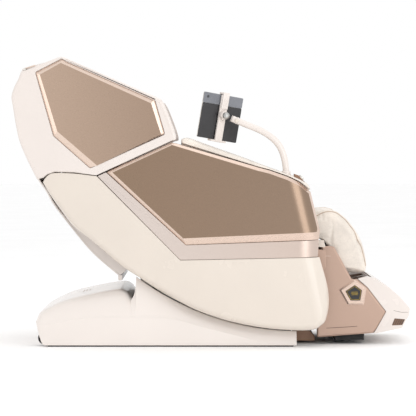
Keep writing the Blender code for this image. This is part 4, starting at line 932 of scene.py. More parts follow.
def side_cover():
    """Flange of the base: upright band, crease, and a face that leans in to the body."""
    crease = flowing(CREASE, 6)
    stations = [-0.3350, -0.3290, -0.3230, -0.3180, -0.3150, -0.3138, -0.3130]
    stations += [-0.3130 + (0.3430 + 0.3130) * k / 56 for k in range(1, 57)]
    rings = []
    for x in stations:
        low = FLOOR_GAP
        top = max(flange_top(x), low + 0.010)
        mid = min(max(between(crease, x), low + 0.004), top - 0.005)
        rise = top - mid
        section = [(0.3320, low), (0.3590, low), (0.3617, low + 0.0008), (0.3625, low + 0.0030)]
        section += [(0.3625, mid - 0.0010), (0.3620, mid + 0.0006), (0.3605, mid + 0.0018)]
        section += [(0.3605 - 0.0205 * f - 0.004 * f * f, mid + 0.0018 + (rise - 0.0040) * f)
                    for f in (0.15, 0.35, 0.55, 0.75, 0.9, 1.0)]
        section += [(0.3340, top - 0.0006), (0.3320, top), (0.3305, top - 0.0006)]
        section += [(0.3300, top - 0.0025), (0.3300, low + 0.001)]
        rings.append([(x, -y, z) for y, z in section])
    cover = lofted("flange", rings)
    cover = edge_bevel(cover, 0.0012, 2, 60.0)
    return both_sides(cover, "base_flange", CREAM_BASE, "base", "base_side_cover")


HOOD_TOP = [(-0.7225, 0.1080), (-0.7180, 0.1210), (-0.7050, 0.1400), (-0.6530, 0.1680),
            (-0.6000, 0.1900), (-0.5350, 0.2060), (-0.4690, 0.2200), (-0.4000, 0.2310),
            (-0.3680, 0.2300), (-0.3480, 0.2180), (-0.3357, 0.2010)]
HOOD_LOW = [(-0.7225, 0.0990), (-0.7110, 0.0520), (-0.6970, 0.0120), (-0.6880, FLOOR_GAP),
            (-0.3350, FLOOR_GAP)]


def rear_hood():
    """The hump behind the body, one loft with round rear corners, a wheel slot each side."""
    crease = flowing(CREASE, 6)
    tops = flowing(HOOD_TOP, 6)
    stations = sorted({round(-0.7225 + 0.0345 * (k / 10) ** 2, 5) for k in range(11)}
                      | {round(-0.6880 + 0.3565 * k / 50, 5) for k in range(51)})
    rings = []
    for x in stations:
        low = between(HOOD_LOW, x)
        top = max(between(tops, x), low + 0.004)
        mid = min(max(between(crease, x), low + 0.001), top - 0.002)
        past = max(-0.6880 - x, 0.0) / 0.0350
        round_in = 0.0350 * (1 - math.sqrt(max(1 - past ** 2, 0.0)))
        rise = top - mid
        section = [(0.3590, low), (0.3614, low + 0.0006), (0.3622, low + min(0.003, mid - low))]
        section += [(0.3622, mid - 0.0004), (0.3617, mid), (0.3602, mid + min(0.0018, rise / 4))]
        section += [(0.3560, mid + rise * 0.25), (0.3480, mid + rise * 0.50),
                    (0.3370, mid + rise * 0.72), (0.3230, mid + rise * 0.88),
                    (0.3060, mid + rise * 0.965), (0.2840, top - rise * 0.008)]
        section += [(0.2400, top), (0.1200, top + rise * 0.004)]
        right = [(x, -(y - round_in), z) for y, z in section]
        rings.append(right + [(px, -py, pz) for px, py, pz in right[::-1]])
    hood = lofted("base_hood", rings)
    for side in (-1, 1):
        low_y, high_y = sorted((side * 0.2765, side * 0.3215))
        hood = boolean(hood, box_solid("slot", (-0.77, low_y, -0.03), (-0.6550, high_y, 0.064),
                                       0.006, 3))
    hood = boolean(hood, box_solid("window", (-0.77, 0.0285, 0.0555), (-0.6700, 0.1315, 0.0965),
                                   0.004, 3))
    hood = edge_bevel(hood, 0.0012, 2, 50.0)
    finished(hood, CREAM_BASE, "base", ["base_rear_hood"])
    slots = []
    for k in range(3):
        line = [(-0.545 + 0.013 * k, y, between(tops, -0.545 + 0.013 * k) - 0.0004)
                for y in (-0.045, -0.02, 0.0, 0.02, 0.045)]
        slots.append(wire("slot", line, 0.0018))
    finished(merged("hood_vents", *slots), PLASTIC_BROWN, "base")


def transport_wheel():
    """Rubber tyre with a groove each side of its tread, on a plastic hub."""
    centre = Vector((-0.690, -0.299, 0.032))
    start = centre - Vector((0.0, 0.0130, 0.0))
    end = centre + Vector((0.0, 0.0130, 0.0))
    tyre = turned("tyre", start, end, [
        (0.0008, 0.0185), (0.0008, 0.0225), (0.0022, 0.0252), (0.0050, 0.0268), (0.0078, 0.0270),
        (0.0084, 0.0258), (0.0092, 0.0270), (0.0168, 0.0270), (0.0176, 0.0258), (0.0182, 0.0270),
        (0.0210, 0.0268), (0.0238, 0.0252), (0.0252, 0.0225), (0.0252, 0.0185)], 64)
    twin = mirrored(tyre, "transport_tyre_left")
    tyre.name = "transport_tyre_right"
    finished(twin, RUBBER, "wheel_left", ["transport_wheel_left"])
    finished(tyre, RUBBER, "wheel_right", ["transport_wheel_right"])
    hub = turned("hub", start, end, [
        (0.0018, 0.0060), (0.0018, 0.0085), (0.0034, 0.0100), (0.0034, 0.0165), (0.0014, 0.0175),
        (0.0014, 0.0190), (0.0246, 0.0190), (0.0246, 0.0175), (0.0226, 0.0165), (0.0226, 0.0100),
        (0.0242, 0.0085), (0.0242, 0.0060)], 48)
    twin = mirrored(hub, "transport_hub_left")
    hub.name = "transport_hub_right"
    finished(twin, PLASTIC_BLACK, "wheel_left")
    finished(hub, PLASTIC_BLACK, "wheel_right")


# ---------------------------------------------------------------- leg rest and foot shell

LEG_OUTLINE = [
    (0.4480, 0.4065), (0.4930, 0.4065), (0.5030, 0.4020), (0.5740, 0.2715), (0.5880, 0.2690),
    (0.5960, 0.2700), (0.6400, 0.2345), (0.7165, 0.1350), (0.6765, 0.0640), (0.6640, 0.0470),
    (0.4310, 0.0290), (0.4310, 0.3420), (0.4480, 0.3420),
]
LEG_FILLETS = [0.003, 0.008, 0.010, 0.004, 0.006, 0.006, 0.006, 0.006, 0.006, 0.010, 0.008,
               0.003, 0.003]
PENTAGON = [(0.5870, 0.2690), (0.6365, 0.2330), (0.6250, 0.1630), (0.5590, 0.1630),
            (0.5225, 0.2260)]


def scaled(points, factor):
    cx = sum(p[0] for p in points) / len(points)
    cz = sum(p[1] for p in points) / len(points)
    return [(cx + (x - cx) * factor, cz + (z - cz) * factor) for x, z in points]


def leg_side_panel():
    """Champagne side of the foot unit: chamfered plate, five-sided housing, badge, lower groove."""
    outline = fillet(LEG_OUTLINE, LEG_FILLETS, 4)
    inner = fillet(inset(LEG_OUTLINE, 0.0060), [r * 0.6 for r in LEG_FILLETS], 4)
    body = chamfered("leg_plate", outline, inner, -0.2290, -0.2462, -0.2498)
    body = edge_bevel(body, 0.0007, 2, 14.0)
    both_sides(body, "leg_plate_champagne", LEG_PAINT, "foot_unit", "leg_side_panel")
    housing = chamfered("housing", fillet(PENTAGON, 0.005, 4),
                        fillet(scaled(PENTAGON, 0.86), 0.004, 4), -0.2460, -0.2505, -0.2560)
    well = plate("well", fillet(scaled(PENTAGON, 0.62), 0.003, 4), -0.30, -0.2535, 0.0, steps=1)
    housing = boolean(housing, well)
    housing = edge_bevel(housing, 0.0007, 2, 14.0)
    both_sides(housing, "badge_housing", CHAMPAGNE, "foot_unit")
    badge = plate("badge", fillet(scaled(PENTAGON, 0.60), 0.003, 4), -0.2490, -0.2545, 0.0008)
    both_sides(badge, "badge_plate", TABLET_BLACK, "foot_unit")
    ring = fillet(scaled(PENTAGON, 0.52), 0.003, 4)
    lines = [wire("ring", [(x, -0.2547, z) for x, z in ring], 0.0011, closed=True)]
    cx = sum(p[0] for p in PENTAGON) / 5
    cz = sum(p[1] for p in PENTAGON) / 5
    for k in range(3):
        half = 0.015 - 0.002 * abs(k - 1)
        z = cz + 0.0055 * (1 - k)
        lines.append(wire("bar", [(cx - half, -0.2547, z), (cx + half, -0.2547, z + 0.0008)],
                          0.0014))
    both_sides(merged("badge_lines", *lines), "badge_pattern", GOLD, "foot_unit")
    groove = wire("groove", [(0.4700, -0.2497, 0.0672), (0.5300, -0.2499, 0.0705),
                             (0.5970, -0.2497, 0.0752)], 0.0010)
    both_sides(groove, "leg_panel_groove", SEAM_DARK, "foot_unit")
    latch = box_solid("latch", (0.4640, -0.2512, 0.3640), (0.4860, -0.2480, 0.3672), 0.0010, 2)
    both_sides(latch, "leg_panel_latch", CHAMPAGNE, "foot_unit")


FOOT_BODY = [
    (0.4850, 0.2560), (0.5300, 0.2620), (0.5960, 0.2690), (0.6400, 0.2810), (0.6720, 0.2730),
    (0.7290, 0.2370), (0.7740, 0.1980), (0.8165, 0.1490), (0.8110, 0.1180), (0.7930, 0.0880),
    (0.7830, 0.0680), (0.6760, 0.0460), (0.4850, 0.0345),
]
FOOT_CHEEK = [
    (0.6410, 0.2352), (0.7175, 0.1352), (0.6775, 0.0636), (0.6650, 0.0450), (0.6760, 0.0462),
    (0.7830, 0.0680), (0.7930, 0.0880), (0.8110, 0.1180), (0.8165, 0.1490), (0.7740, 0.1980),
    (0.7290, 0.2370), (0.6720, 0.2720), (0.6400, 0.2810), (0.5985, 0.2716),
]
FOOT_CAVITY = [
    (0.4970, 0.3300), (0.4970, 0.0620), (0.7550, 0.0680), (0.7850, 0.1050), (0.7750, 0.1600),
    (0.7200, 0.2140), (0.6600, 0.2560), (0.6600, 0.3300),
]


def foot_shell():
    """Cream shell round both feet with round shoulders and a well for the lining."""
    radii = [0.008, 0.02, 0.02, 0.018, 0.02, 0.03, 0.03, 0.016, 0.02, 0.012, 0.012, 0.03, 0.006]
    body = plate("foot_body", fillet(FOOT_BODY, radii, 5), 0.2280, -0.2280, 0.007, 0.007)
    radii = [0.004, 0.004, 0.004, 0.003, 0.01, 0.012, 0.012, 0.02, 0.016, 0.03, 0.03, 0.02, 0.018,
             0.004]
    cheeks = plate("cheeks", fillet(FOOT_CHEEK, radii, 5), 0.2484, -0.2484, 0.0011, 0.0011)
    soft = fillet(FOOT_CAVITY, [0, 0, 0.01, 0.01, 0.02, 0.02, 0.006, 0], 4)
    shell = boolean(body, cheeks, "UNION")
    cavity = plate("cavity", soft, 0.2150, -0.2150, 0.0, steps=1)
    shell = boolean(shell, cavity)
    shell = edge_bevel(shell, 0.0015, 3, 42.0)
    finished(shell, CREAM_UP, "foot_unit", ["foot_shell"])
    seam = wire("seam", [(0.7480, -0.2480, 0.1400), (0.7800, -0.2481, 0.1330),
                         (0.8080, -0.2478, 0.1330)], 0.0008)
    both_sides(seam, "foot_shell_joint", SEAM_DARK, "foot_unit")
    vent_line = fillet([(0.7400, 0.0780), (0.7840, 0.0800), (0.7960, 0.1040), (0.7520, 0.1080)],
                       0.003, 3)
    vent = plate("vent", vent_line, -0.2440, -0.2488, 0.0008)
    both_sides(vent, "foot_vent", PLASTIC_BROWN, "foot_unit")
    ribs = [wire("rib", [(0.7440 + 0.009 * k, -0.2489, 0.0800 + 0.0004 * k),
                         (0.7560 + 0.009 * k, -0.2489, 0.1060 - 0.0004 * k)], 0.0010)
            for k in range(5)]
    both_sides(merged("vent_ribs", *ribs), "foot_vent_rib", PLASTIC_BLACK, "foot_unit")
    rail = [(0.6560, -0.2120, 0.2700), (0.6560, 0.0, 0.2708), (0.6560, 0.2120, 0.2700)]
    finished(wire("toe_rim_bead", rail, 0.0016), CHAMPAGNE, "foot_unit")


# ---------------------------------------------------------------- tablet and its arm

TAB_X, TAB_Y = 0.300, -0.335
BALL = Vector((0.055, -0.335, 0.943))
YAW, ROLL, LEAN = math.radians(32.6), math.radians(8.0), math.radians(5.0)
ARM_LINE = [
    (0.300, 0.690), (0.300, 0.715), (0.2975, 0.742), (0.2920, 0.772), (0.2800, 0.806),
    (0.2620, 0.834), (0.2370, 0.857), (0.2050, 0.878), (0.1700, 0.894), (0.1300, 0.910),
    (0.0750, 0.9330),
]


def tablet_matrix():
    width = Vector((math.cos(YAW), math.sin(YAW), 0.0))
    back = Vector((math.sin(YAW), -math.cos(YAW), 0.0))
    basis = Matrix((width, Vector((0.0, 0.0, 1.0)), back)).transposed().to_4x4()
    turn = Matrix.Rotation(-ROLL, 4, "Z") @ Matrix.Rotation(LEAN, 4, "X")
    return Matrix.Translation(BALL) @ basis @ turn


def tablet_arm():
    line = flowing(ARM_LINE, 5)
    tube = wire("tube", [(x, TAB_Y, z) for x, z in line], 0.0132, sides=28)
    base = Vector((TAB_X, TAB_Y, 0.6765))
    collar = turned("collar", base, base + Vector((0, 0, 0.05)), [
        (0.0, 0.0188), (0.0200, 0.0188), (0.0204, 0.0180), (0.0222, 0.0180), (0.0226, 0.0188),
        (0.0372, 0.0188), (0.0400, 0.0182), (0.0415, 0.0164), (0.0420, 0.0140)], 56)
    neck_start = Vector((ARM_LINE[-1][0] + 0.028, TAB_Y, ARM_LINE[-1][1] - 0.0115))
    neck = turned("neck", neck_start, BALL, [
        (0.0, 0.0135), (0.0010, 0.0143), (0.0060, 0.0143), (0.0070, 0.0135)], 40)
    finished(merged("tablet_arm_tube", tube, collar, neck), CREAM_UP, "tablet_arm", ["tablet_arm"])
    turns = [2 * math.pi * k / 40 for k in range(40)]
    ring = [(TAB_X + 0.0186 * math.cos(a), TAB_Y + 0.0186 * math.sin(a), 0.6978) for a in turns]
    marks = wire("tablet_collar_joint", ring, 0.0007, True, 6)
    finished(marks, SEAM_DARK, "tablet_arm")
    knob_at = neck_start + Vector((-0.004, -0.0120, 0.002))
    knob = turned("tablet_arm_knob", knob_at, knob_at - Vector((0.0, 0.02, 0.0)), [
        (0.0, 0.0050), (0.0020, 0.0078), (0.0065, 0.0082), (0.0078, 0.0072), (0.0080, 0.0030)], 36)
    finished(knob, CREAM_LOW, "tablet_arm")


def in_tablet_frame(obj):
    obj.data.transform(tablet_matrix())
    return obj


def clamp_and_jaw():
    """Clamp bar with a lower shelf and ball socket, and the sprung jaw with its hook."""
    bar = box_solid("bar", (-0.0170, -0.1120, -0.0360), (0.0170, 0.0830, -0.0250), 0.003)
    shelf = box_solid("shelf", (-0.0370, -0.1110, -0.0520), (0.0370, -0.1035, -0.0255), 0.002)
    lip = box_solid("lip", (-0.0370, -0.1110, -0.0530), (0.0370, -0.0930, -0.0490), 0.0015)
    socket = turned("socket", (0.0, 0.0, -0.0270), (0.0, 0.0, 0.0), [
        (0.0, 0.0182), (0.0030, 0.0189), (0.0140, 0.0187), (0.0200, 0.0174), (0.0228, 0.0158),
        (0.0232, 0.0150)], 48)
    clamp = merged("tablet_clamp_body", bar, shelf, lip, socket)
    finished(in_tablet_frame(clamp), CREAM_UP, "tablet_clamp", ["tablet_clamp"])
    plate_part = box_solid("plate", (-0.0150, 0.0260, -0.0247), (0.0150, 0.0930, -0.0195), 0.0018)
    top = box_solid("top", (-0.0150, 0.0850, -0.0530), (0.0150, 0.0930, -0.0200), 0.0020)
    hook = box_solid("hook", (-0.0150, 0.0740, -0.0530), (0.0150, 0.0920, -0.0490), 0.0015)
    ribs = [box_solid("rib", (-0.0100, 0.0400 + 0.006 * k, -0.0200), (0.0100, 0.0424 + 0.006 * k,
                      -0.0186), 0.0006, 2) for k in range(5)]
    jaw = merged("clamp_jaw_body", plate_part, top, hook, *ribs)
    finished(in_tablet_frame(jaw), CREAM_UP, "clamp_jaw", ["clamp_jaw"])


def tablet_shape(name, low, high, radius, thick_low, thick_high, bevel):
    """A rounded rectangle in the tablet's own frame: width by height, between two depths."""
    corners = fillet([(low[0], low[1]), (high[0], low[1]), (high[0], high[1]), (low[0], high[1])],
                     radius, 6)
    rings = rim_rings(corners, thick_high, thick_low, bevel, 4)
    first = rim_rings(corners, thick_low, thick_high, bevel, 4)[::-1]
    points = [[(x, z, y) for x, y, z in ring] for ring in first + rings]
    return in_tablet_frame(lofted(name, points))


def tablet():
    """Slate with a two-tone back, a bright edge, a glass front and its camera."""
    low, high = (-0.0950, -0.1030), (0.0950, 0.0830)
    split = 0.0400
    body = tablet_shape("tablet_back", low, (high[0], split - 0.0004), 0.0050, -0.0478, -0.0390,
                        0.0014)
    finished(body, TABLET_BLACK, "tablet_clamp", ["tablet"])
    band = tablet_shape("tablet_band", (low[0], split), high, 0.0050, -0.0478, -0.0388, 0.0014)
    finished(band, TABLET_GREY, "tablet_clamp")
    edge = tablet_shape("tablet_edge", (low[0] - 0.0006, low[1] - 0.0002),
                        (high[0] + 0.0006, high[1] + 0.0004), 0.0075, -0.0462, -0.0428, 0.0008)
    finished(edge, CHROME, "tablet_clamp")
    glass = tablet_shape("tablet_screen", (low[0] + 0.0020, low[1] + 0.0020),
                         (high[0] - 0.0020, high[1] - 0.0020), 0.0045, -0.0484, -0.0470, 0.0004)
    finished(glass, GLASS, "tablet_clamp")
    eye = turned("eye", (-0.0760, 0.0660, -0.0392), (-0.0760, 0.0660, -0.0370), [
        (0.0, 0.0052), (0.0014, 0.0052), (0.0018, 0.0046), (0.0018, 0.0030), (0.0012, 0.0024)], 32)
    finished(in_tablet_frame(eye), GLASS, "tablet_clamp")


# ---------------------------------------------------------------- arm controls

POD_N = Vector((0.737, 0.0, 0.676)).normalized()
POD_X, POD_Z = 0.361, 0.688
DIAL_Y, START_Y = -0.298, -0.340


def controls():
    """Knurled dial and start button on the pod's sloping face."""
    centre = Vector((POD_X, DIAL_Y, POD_Z))
    dial = turned("jog_dial_cap", centre + POD_N * 0.0006, centre + POD_N * 0.0100, [
        (0.0, 0.0112), (0.0006, 0.0118), (0.0060, 0.0118), (0.0072, 0.0112), (0.0080, 0.0100),
        (0.0076, 0.0085), (0.0074, 0.0020)], 96)
    axis = POD_N
    for vert in dial.data.vertices:
        away = vert.co - centre
        away -= axis * away.dot(axis)
        if away.length > 0.0105:
            angle = math.atan2(away.y, away.dot(Vector((axis.z, 0.0, -axis.x))))
            vert.co -= away.normalized() * 0.00022 * (1 + math.cos(48 * angle))
    finished(dial, CHROME, "jog_dial", ["jog_dial"])
    centre = Vector((POD_X, START_Y, POD_Z))
    button = turned("start_button_cap", centre - POD_N * 0.0038, centre + POD_N * 0.0030, [
        (0.0, 0.0066), (0.0052, 0.0066), (0.0060, 0.0060), (0.0062, 0.0044), (0.0057, 0.0018)], 48)
    finished(button, CHROME, "start_button", ["start_button"])


# ---------------------------------------------------------------- CAD parts kept as they are

KEPT = [
    ("base_frame", STEEL_BLACK, 0.0010), ("base_front_bracket", PLASTIC_BROWN, 0.0),
    ("foot_strip_right", RUBBER, 0.0008), ("foot_strip_left", RUBBER, 0.0008),
    ("air_pump", PLASTIC_BLACK, 0.0), ("power_inlet", PLASTIC_BLACK, 0.0),
    ("power_switch", PLASTIC_BLACK, 0.0), ("recline_actuator_tube", PLASTIC_BLACK, 0.0008),
    ("recline_actuator_rod", STEEL_ZINC, 0.0005), ("seat_frame", STEEL_BLACK, 0.0006),
    ("back_frame", STEEL_BLACK, 0.0008), ("massage_carriage", PLASTIC_BLACK, 0.0006),
    ("massage_arm_right", PLASTIC_BLACK, 0.0006), ("massage_arm_left", PLASTIC_BLACK, 0.0006),
    ("tablet_knuckle", STEEL_ZINC, 0.0), ("leg_frame", STEEL_BLACK, 0.0008),
    ("leg_rubber_foot", RUBBER, 0.0012), ("control_pod", PLASTIC_BROWN, 0.0),
]


def kept_parts():
    """Finishes and softened edges for the frames and drives, whose CAD shape already shows all."""
    for node, material, bevel in KEPT:
        obj = NODES[node]
        obj.data.materials.clear()
        obj.data.materials.append(material)
        for polygon in obj.data.polygons:
            polygon.use_smooth = True
        if bevel:
            modifier = obj.modifiers.new("edges", "BEVEL")
            modifier.width = bevel
            modifier.segments = 2
            modifier.limit_method = "ANGLE"
            modifier.angle_limit = math.radians(35)
        obj.modifiers.new("normals", "WEIGHTED_NORMAL").keep_sharp = True


# ---------------------------------------------------------------- rollers and wheels in the drives

def sleeve(name, start, end, profile, segments=48):
    """A turned ring with a bore: the profile runs round its section."""
    start, end = Vector(start), Vector(end)
    turn = Vector((0, 0, 1)).rotation_difference(end - start).to_matrix()
    rings = []
    for along, radius in profile + profile[:1]:
        rings.append([start + turn @ Vector((radius * math.cos(2 * math.pi * k / segments),
                                             radius * math.sin(2 * math.pi * k / segments), along))
                      for k in range(segments)])
    return lofted(name, rings, caps=False)


CARRIAGE_S, KNEAD_OFFSET, KNEAD_STEP = 0.130, -0.093, 0.052


def kneading_wheels():
    """Rounded kneading tyres on the arms' stubs."""
    profile = [(0.0, 0.0047), (0.0, 0.0150), (0.0012, 0.0165), (0.0012, 0.0205), (0.0030, 0.0236),
               (0.0062, 0.0254), (0.0105, 0.0260), (0.0148, 0.0254), (0.0180, 0.0236),
               (0.0198, 0.0205), (0.0198, 0.0165), (0.0210, 0.0150), (0.0210, 0.0047)]
    for where, step in (("lower", -KNEAD_STEP), ("upper", KNEAD_STEP)):
        wheel = sleeve("wheel", back_point(CARRIAGE_S + step, KNEAD_OFFSET, -0.0985),
                       back_point(CARRIAGE_S + step, KNEAD_OFFSET, -0.0775), profile)
        stem = "kneading_wheel_" + where
        twin = mirrored(wheel, stem + "_tyre_left")
        wheel.name = stem + "_tyre_right"
        finished(twin, LEATHER_PIPING, f"knead_{where}_left", [stem + "_left"])
        finished(wheel, LEATHER_PIPING, f"knead_{where}_right", [stem + "_right"])


ROLLER_X, ROLLER_Z = 0.620, 0.0720


def foot_rollers():
    """Ribbed rollers with rows of rounded nubs."""
    profile = [(0.0, 0.0047), (0.0, 0.0130), (0.0020, 0.0150)]
    for middle in (0.021, 0.084):
        profile += [(middle - 0.008, 0.0150), (middle - 0.006, 0.0172), (middle - 0.003, 0.0180),
                    (middle + 0.003, 0.0180), (middle + 0.006, 0.0172), (middle + 0.008, 0.0150)]
    profile += [(0.1030, 0.0150), (0.1050, 0.0130), (0.1050, 0.0047)]
    roller = sleeve("roller", (ROLLER_X, -0.1500, ROLLER_Z), (ROLLER_X, -0.0450, ROLLER_Z),
                    profile, 40)
    nubs = []
    for row in range(4):
        y = -0.1110 + 0.0090 * row
        for k in range(10):
            angle = 2 * math.pi * (k + 0.5 * (row % 2)) / 10
            out = Vector((math.cos(angle), 0.0, math.sin(angle)))
            foot = Vector((ROLLER_X, y, ROLLER_Z)) + out * 0.0142
            nubs.append(turned("nub", foot, foot + out * 0.003,
                               [(0.0, 0.0030), (0.0014, 0.0028), (0.0026, 0.0016)], 10))
    roller = merged("foot_roller_ribs", roller, *nubs)
    twin = mirrored(roller, "foot_roller_ribs_left")
    roller.name = "foot_roller_ribs_right"
    finished(twin, PLASTIC_BLACK, "foot_roller_left", ["foot_roller_left"])
    finished(roller, PLASTIC_BLACK, "foot_roller_right", ["foot_roller_right"])


# ---------------------------------------------------------------- soft parts

def cad_copy(node, name):
    """The surface of a CAD node as a new welded mesh in the row frame."""
    graph = bpy.context.evaluated_depsgraph_get()
    source = NODES[node]
    mesh = bpy.data.meshes.new_from_object(source.evaluated_get(graph))
    mesh.transform(source.matrix_world)
    mesh.materials.clear()
    work = bmesh.new()
    work.from_mesh(mesh)
    bmesh.ops.remove_doubles(work, verts=work.verts, dist=0.00002)
    bmesh.ops.recalc_face_normals(work, faces=work.faces)
    work.to_mesh(mesh)
    work.free()
    return new_object(name, mesh)


def remeshed(obj, voxel, smooth=0):
    modifier = obj.modifiers.new("remesh", "REMESH")
    modifier.mode = "VOXEL"
    modifier.voxel_size = voxel
    if smooth:
        relax = obj.modifiers.new("relax", "SMOOTH")
        relax.factor = 0.5
        relax.iterations = smooth
    return settled(obj)


def subdivided(obj):
    modifier = obj.modifiers.new("fine", "SUBSURF")
    modifier.levels = modifier.render_levels = 1
    return settled(obj)


SWELL_FRAMES = 20


def swollen(obj, held, pressure, cap):
    """Fills a cover like a stuffed cushion; held points stay and no point moves further than cap."""
    start = [v.co.copy() for v in obj.data.vertices]
    group = obj.vertex_groups.new(name="held")
    group.add(held, 1.0, "REPLACE")
    modifier = obj.modifiers.new("filling", "CLOTH")
    cloth = modifier.settings
    cloth.quality = 4
    cloth.mass = 0.25
    cloth.tension_stiffness = cloth.compression_stiffness = 12
    cloth.bending_stiffness = 1.2
    cloth.use_pressure = True
    cloth.uniform_pressure_force = pressure
    cloth.vertex_group_mass = "held"
    cloth.effector_weights.gravity = 0
    modifier.point_cache.frame_end = SWELL_FRAMES
    for number in range(1, SWELL_FRAMES + 1):
        bpy.context.scene.frame_set(number)
    settled(obj)
    bpy.context.scene.frame_set(1)
    for vert, origin in zip(obj.data.vertices, start):
        move = vert.co - origin
        if move.length > cap:
            vert.co = origin + move * (cap / move.length)
    obj.vertex_groups.clear()
    return obj


def near_line(points):
    """A function that gives the distance from a spot to an open line of 3-D points."""
    line = [Vector(p) for p in points]

    def distance(spot):
        best = 1.0
        for a, b in zip(line, line[1:]):
            along = b - a
            t = max(0.0, min(1.0, (spot - a).dot(along) / along.length_squared))
            best = min(best, (a + along * t - spot).length)
        return best
    return distance


class Padding:
    """One stuffed piece made from its CAD solid."""

    def __init__(self, node, name, voxel=0.006, shrink=0.005, smooth=6):
        self.node = node
        self.low, self.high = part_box(node)
        self.obj = remeshed(cad_copy(node, name), voxel, smooth)
        self.move_in(lambda co, normal: shrink)

    def move_in(self, amount):
        verts = self.obj.data.vertices
        normals = [vert.normal.copy() for vert in verts]
        moved = [vert.co - normal * amount(vert.co, normal) for vert, normal in zip(verts, normals)]
        verts.foreach_set("co", [c for spot in moved for c in spot])
        self.obj.data.update()

    def seam_depth(self, lines, width, depth):
        """Depth below the surface, for each vertex, of the dips along seam lines."""
        finders = [near_line(line) for line in lines]
        boxes = []
        for line in lines:
            boxes.append([(min(p[i] for p in line) - 0.03, max(p[i] for p in line) + 0.03)
                          for i in range(3)])

        def amount(co, normal):
            near = 1.0
            for find, limits in zip(finders, boxes):
                if all(low <= c <= high for c, (low, high) in zip(co, limits)):
                    near = min(near, find(co))
            return depth * math.exp(-(near / width) ** 2)
        return amount

    def stuff(self, lines, resting, pressure=4.0, cap=0.016, width=0.010, depth=0.008):
        """Sews the seams down, holds them and the resting side, and swells the rest."""
        dip = self.seam_depth(lines, width, depth)
        self.move_in(dip)
        held = [v.index for v in self.obj.data.vertices
                if dip(v.co, v.normal) > depth * 0.70 or resting(v.co, v.normal)]
        swollen(self.obj, held, pressure, cap)
        self.clamp()
        subdivided(self.obj)
        self.move_in(self.seam_depth(lines, width * 0.32, depth * 0.22))
        return self

    def clamp(self, margin=0.0015):
        for vert in self.obj.data.vertices:
            for i in range(3):
                vert.co[i] = max(self.low[i] - margin, min(self.high[i] + margin, vert.co[i]))

    def done(self, material, body, fill=0.8):
        finished(self.obj, material, body, [self.node], weighted=False)
        return self.obj


def on_surface(obj, points, lift=0.0):
    """Each point moved to the nearest place on the object, with its normal."""
    tree = BVHTree.FromPolygons([v.co for v in obj.data.vertices],
                                [p.vertices for p in obj.data.polygons])
    placed = []
    for spot in points:
        location, normal, _, _ = tree.find_nearest(Vector(spot))
        placed.append((location + normal * lift, normal))
    return placed


def spaced(points, step):
    """Points at equal steps along a line."""
    line = [Vector(p) for p in points]
    result = [line[0]]
    left = step
    for a, b in zip(line, line[1:]):
        length = (b - a).length
        at = left
        while at <= length:
            result.append(a + (b - a) * (at / length))
            at += step
        left = at - length
    return result


def piping(name, obj, line, radius, material, body, closed=False):
    """A sewn cord that follows the surface along a line."""
    spots = [p for p, _ in on_surface(obj, spaced(line, 0.006), radius * 0.35)]
    for _ in range(2):
        spots = [spots[0]] + [(a + b * 2 + c) / 4 for a, b, c in zip(spots, spots[1:], spots[2:])] \
            + [spots[-1]]
    return finished(wire(name, spots, radius, closed, 8), material, body)


THREAD_HALF, THREAD_RISE, THREAD_CROWN = 0.0005, 0.0008, 0.0009


def stitches(name, obj, lines, material, body, offset=0.0045, step=0.0075):
    """Rows of short thread dashes on both sides of each seam line."""
    points, faces = [], []
    for line in lines:
        spots = on_surface(obj, spaced(line, step), 0.0002)
        for (a, normal), (b, _) in zip(spots, spots[1:]):
            along = (b - a).normalized()
            across = along.cross(normal).normalized()
            for side in (-1, 1):
                first = a + across * side * offset + along * step * 0.20
                last = first + along * step * 0.55
                low = len(points)
                for end in (first, last):
                    points += [end + across * THREAD_HALF, end + normal * THREAD_RISE,
                               end - across * THREAD_HALF]
                middle = (first + last) / 2 + normal * THREAD_CROWN
                points.append(middle)
                for i, j in ((0, 1), (1, 2)):
                    faces.append((low + i, low + j, low + 6))
                    faces.append((low + 3 + j, low + 3 + i, low + 6))
                faces += [(low, low + 6, low + 3), (low + 2, low + 5, low + 6)]
                faces += [(low + 1, low + 0, low + 2), (low + 3, low + 4, low + 5),
                          (low, low + 3, low + 5, low + 2)]
    mesh = bpy.data.meshes.new(name)
    mesh.from_pydata([tuple(p) for p in points], [], faces)
    return finished(new_object(name, mesh), material, body, weighted=False)


def seat_point(x, y):
    """A place on top of the seat cushion."""
    tops = [(-0.190, 0.388), (-0.100, 0.410), (0.000, 0.432), (0.100, 0.456), (0.180, 0.478),
            (0.215, 0.482)]
    return (x, y, between(tops, x))


def seat_cushion():
    """Seat with two long seams, cross channels between them and a rolled front edge."""
    long_seams = []
    for y in (-0.135, 0.135):
        line = [seat_point(-0.165 + 0.035 * k, y) for k in range(11)]
        long_seams.append(line + [(0.2320, y, 0.462), (0.2270, y, 0.430), (0.2180, y, 0.390)])
    cross = [[seat_point(x, y) for y in (-0.135, -0.07, 0.0, 0.07, 0.135)]
             for x in (-0.105, -0.025, 0.055, 0.135)]
    pad = Padding("seat_cushion", "seat_cushion_cover")
    pad.stuff(long_seams + cross,
              lambda co, n: n.z < -0.5 or (n.x < -0.6 and co.z < 0.36), 4.5, 0.022)
    obj = pad.done(LEATHER_BROWN, "chair")
    stitches("seat_stitches", obj, long_seams, THREAD, "chair")
    for side in (-1, 1):
        edge = [(x, side * (pad.high[1] - 0.006), z - 0.006)
                for x, _, z in [seat_point(-0.17 + 0.035 * k, 0) for k in range(12)]]
        piping(f"seat_piping_{'right' if side < 0 else 'left'}", obj, edge, 0.0024,
               LEATHER_PIPING, "chair")


def back_front(s):
    fronts = [(0.0, -0.012), (0.012, 0.0), (0.10, 0.014), (0.22, 0.020), (0.36, 0.012),
              (0.52, 0.0), (0.785, 0.0), (0.80, -0.014)]
    return between(fronts, s)


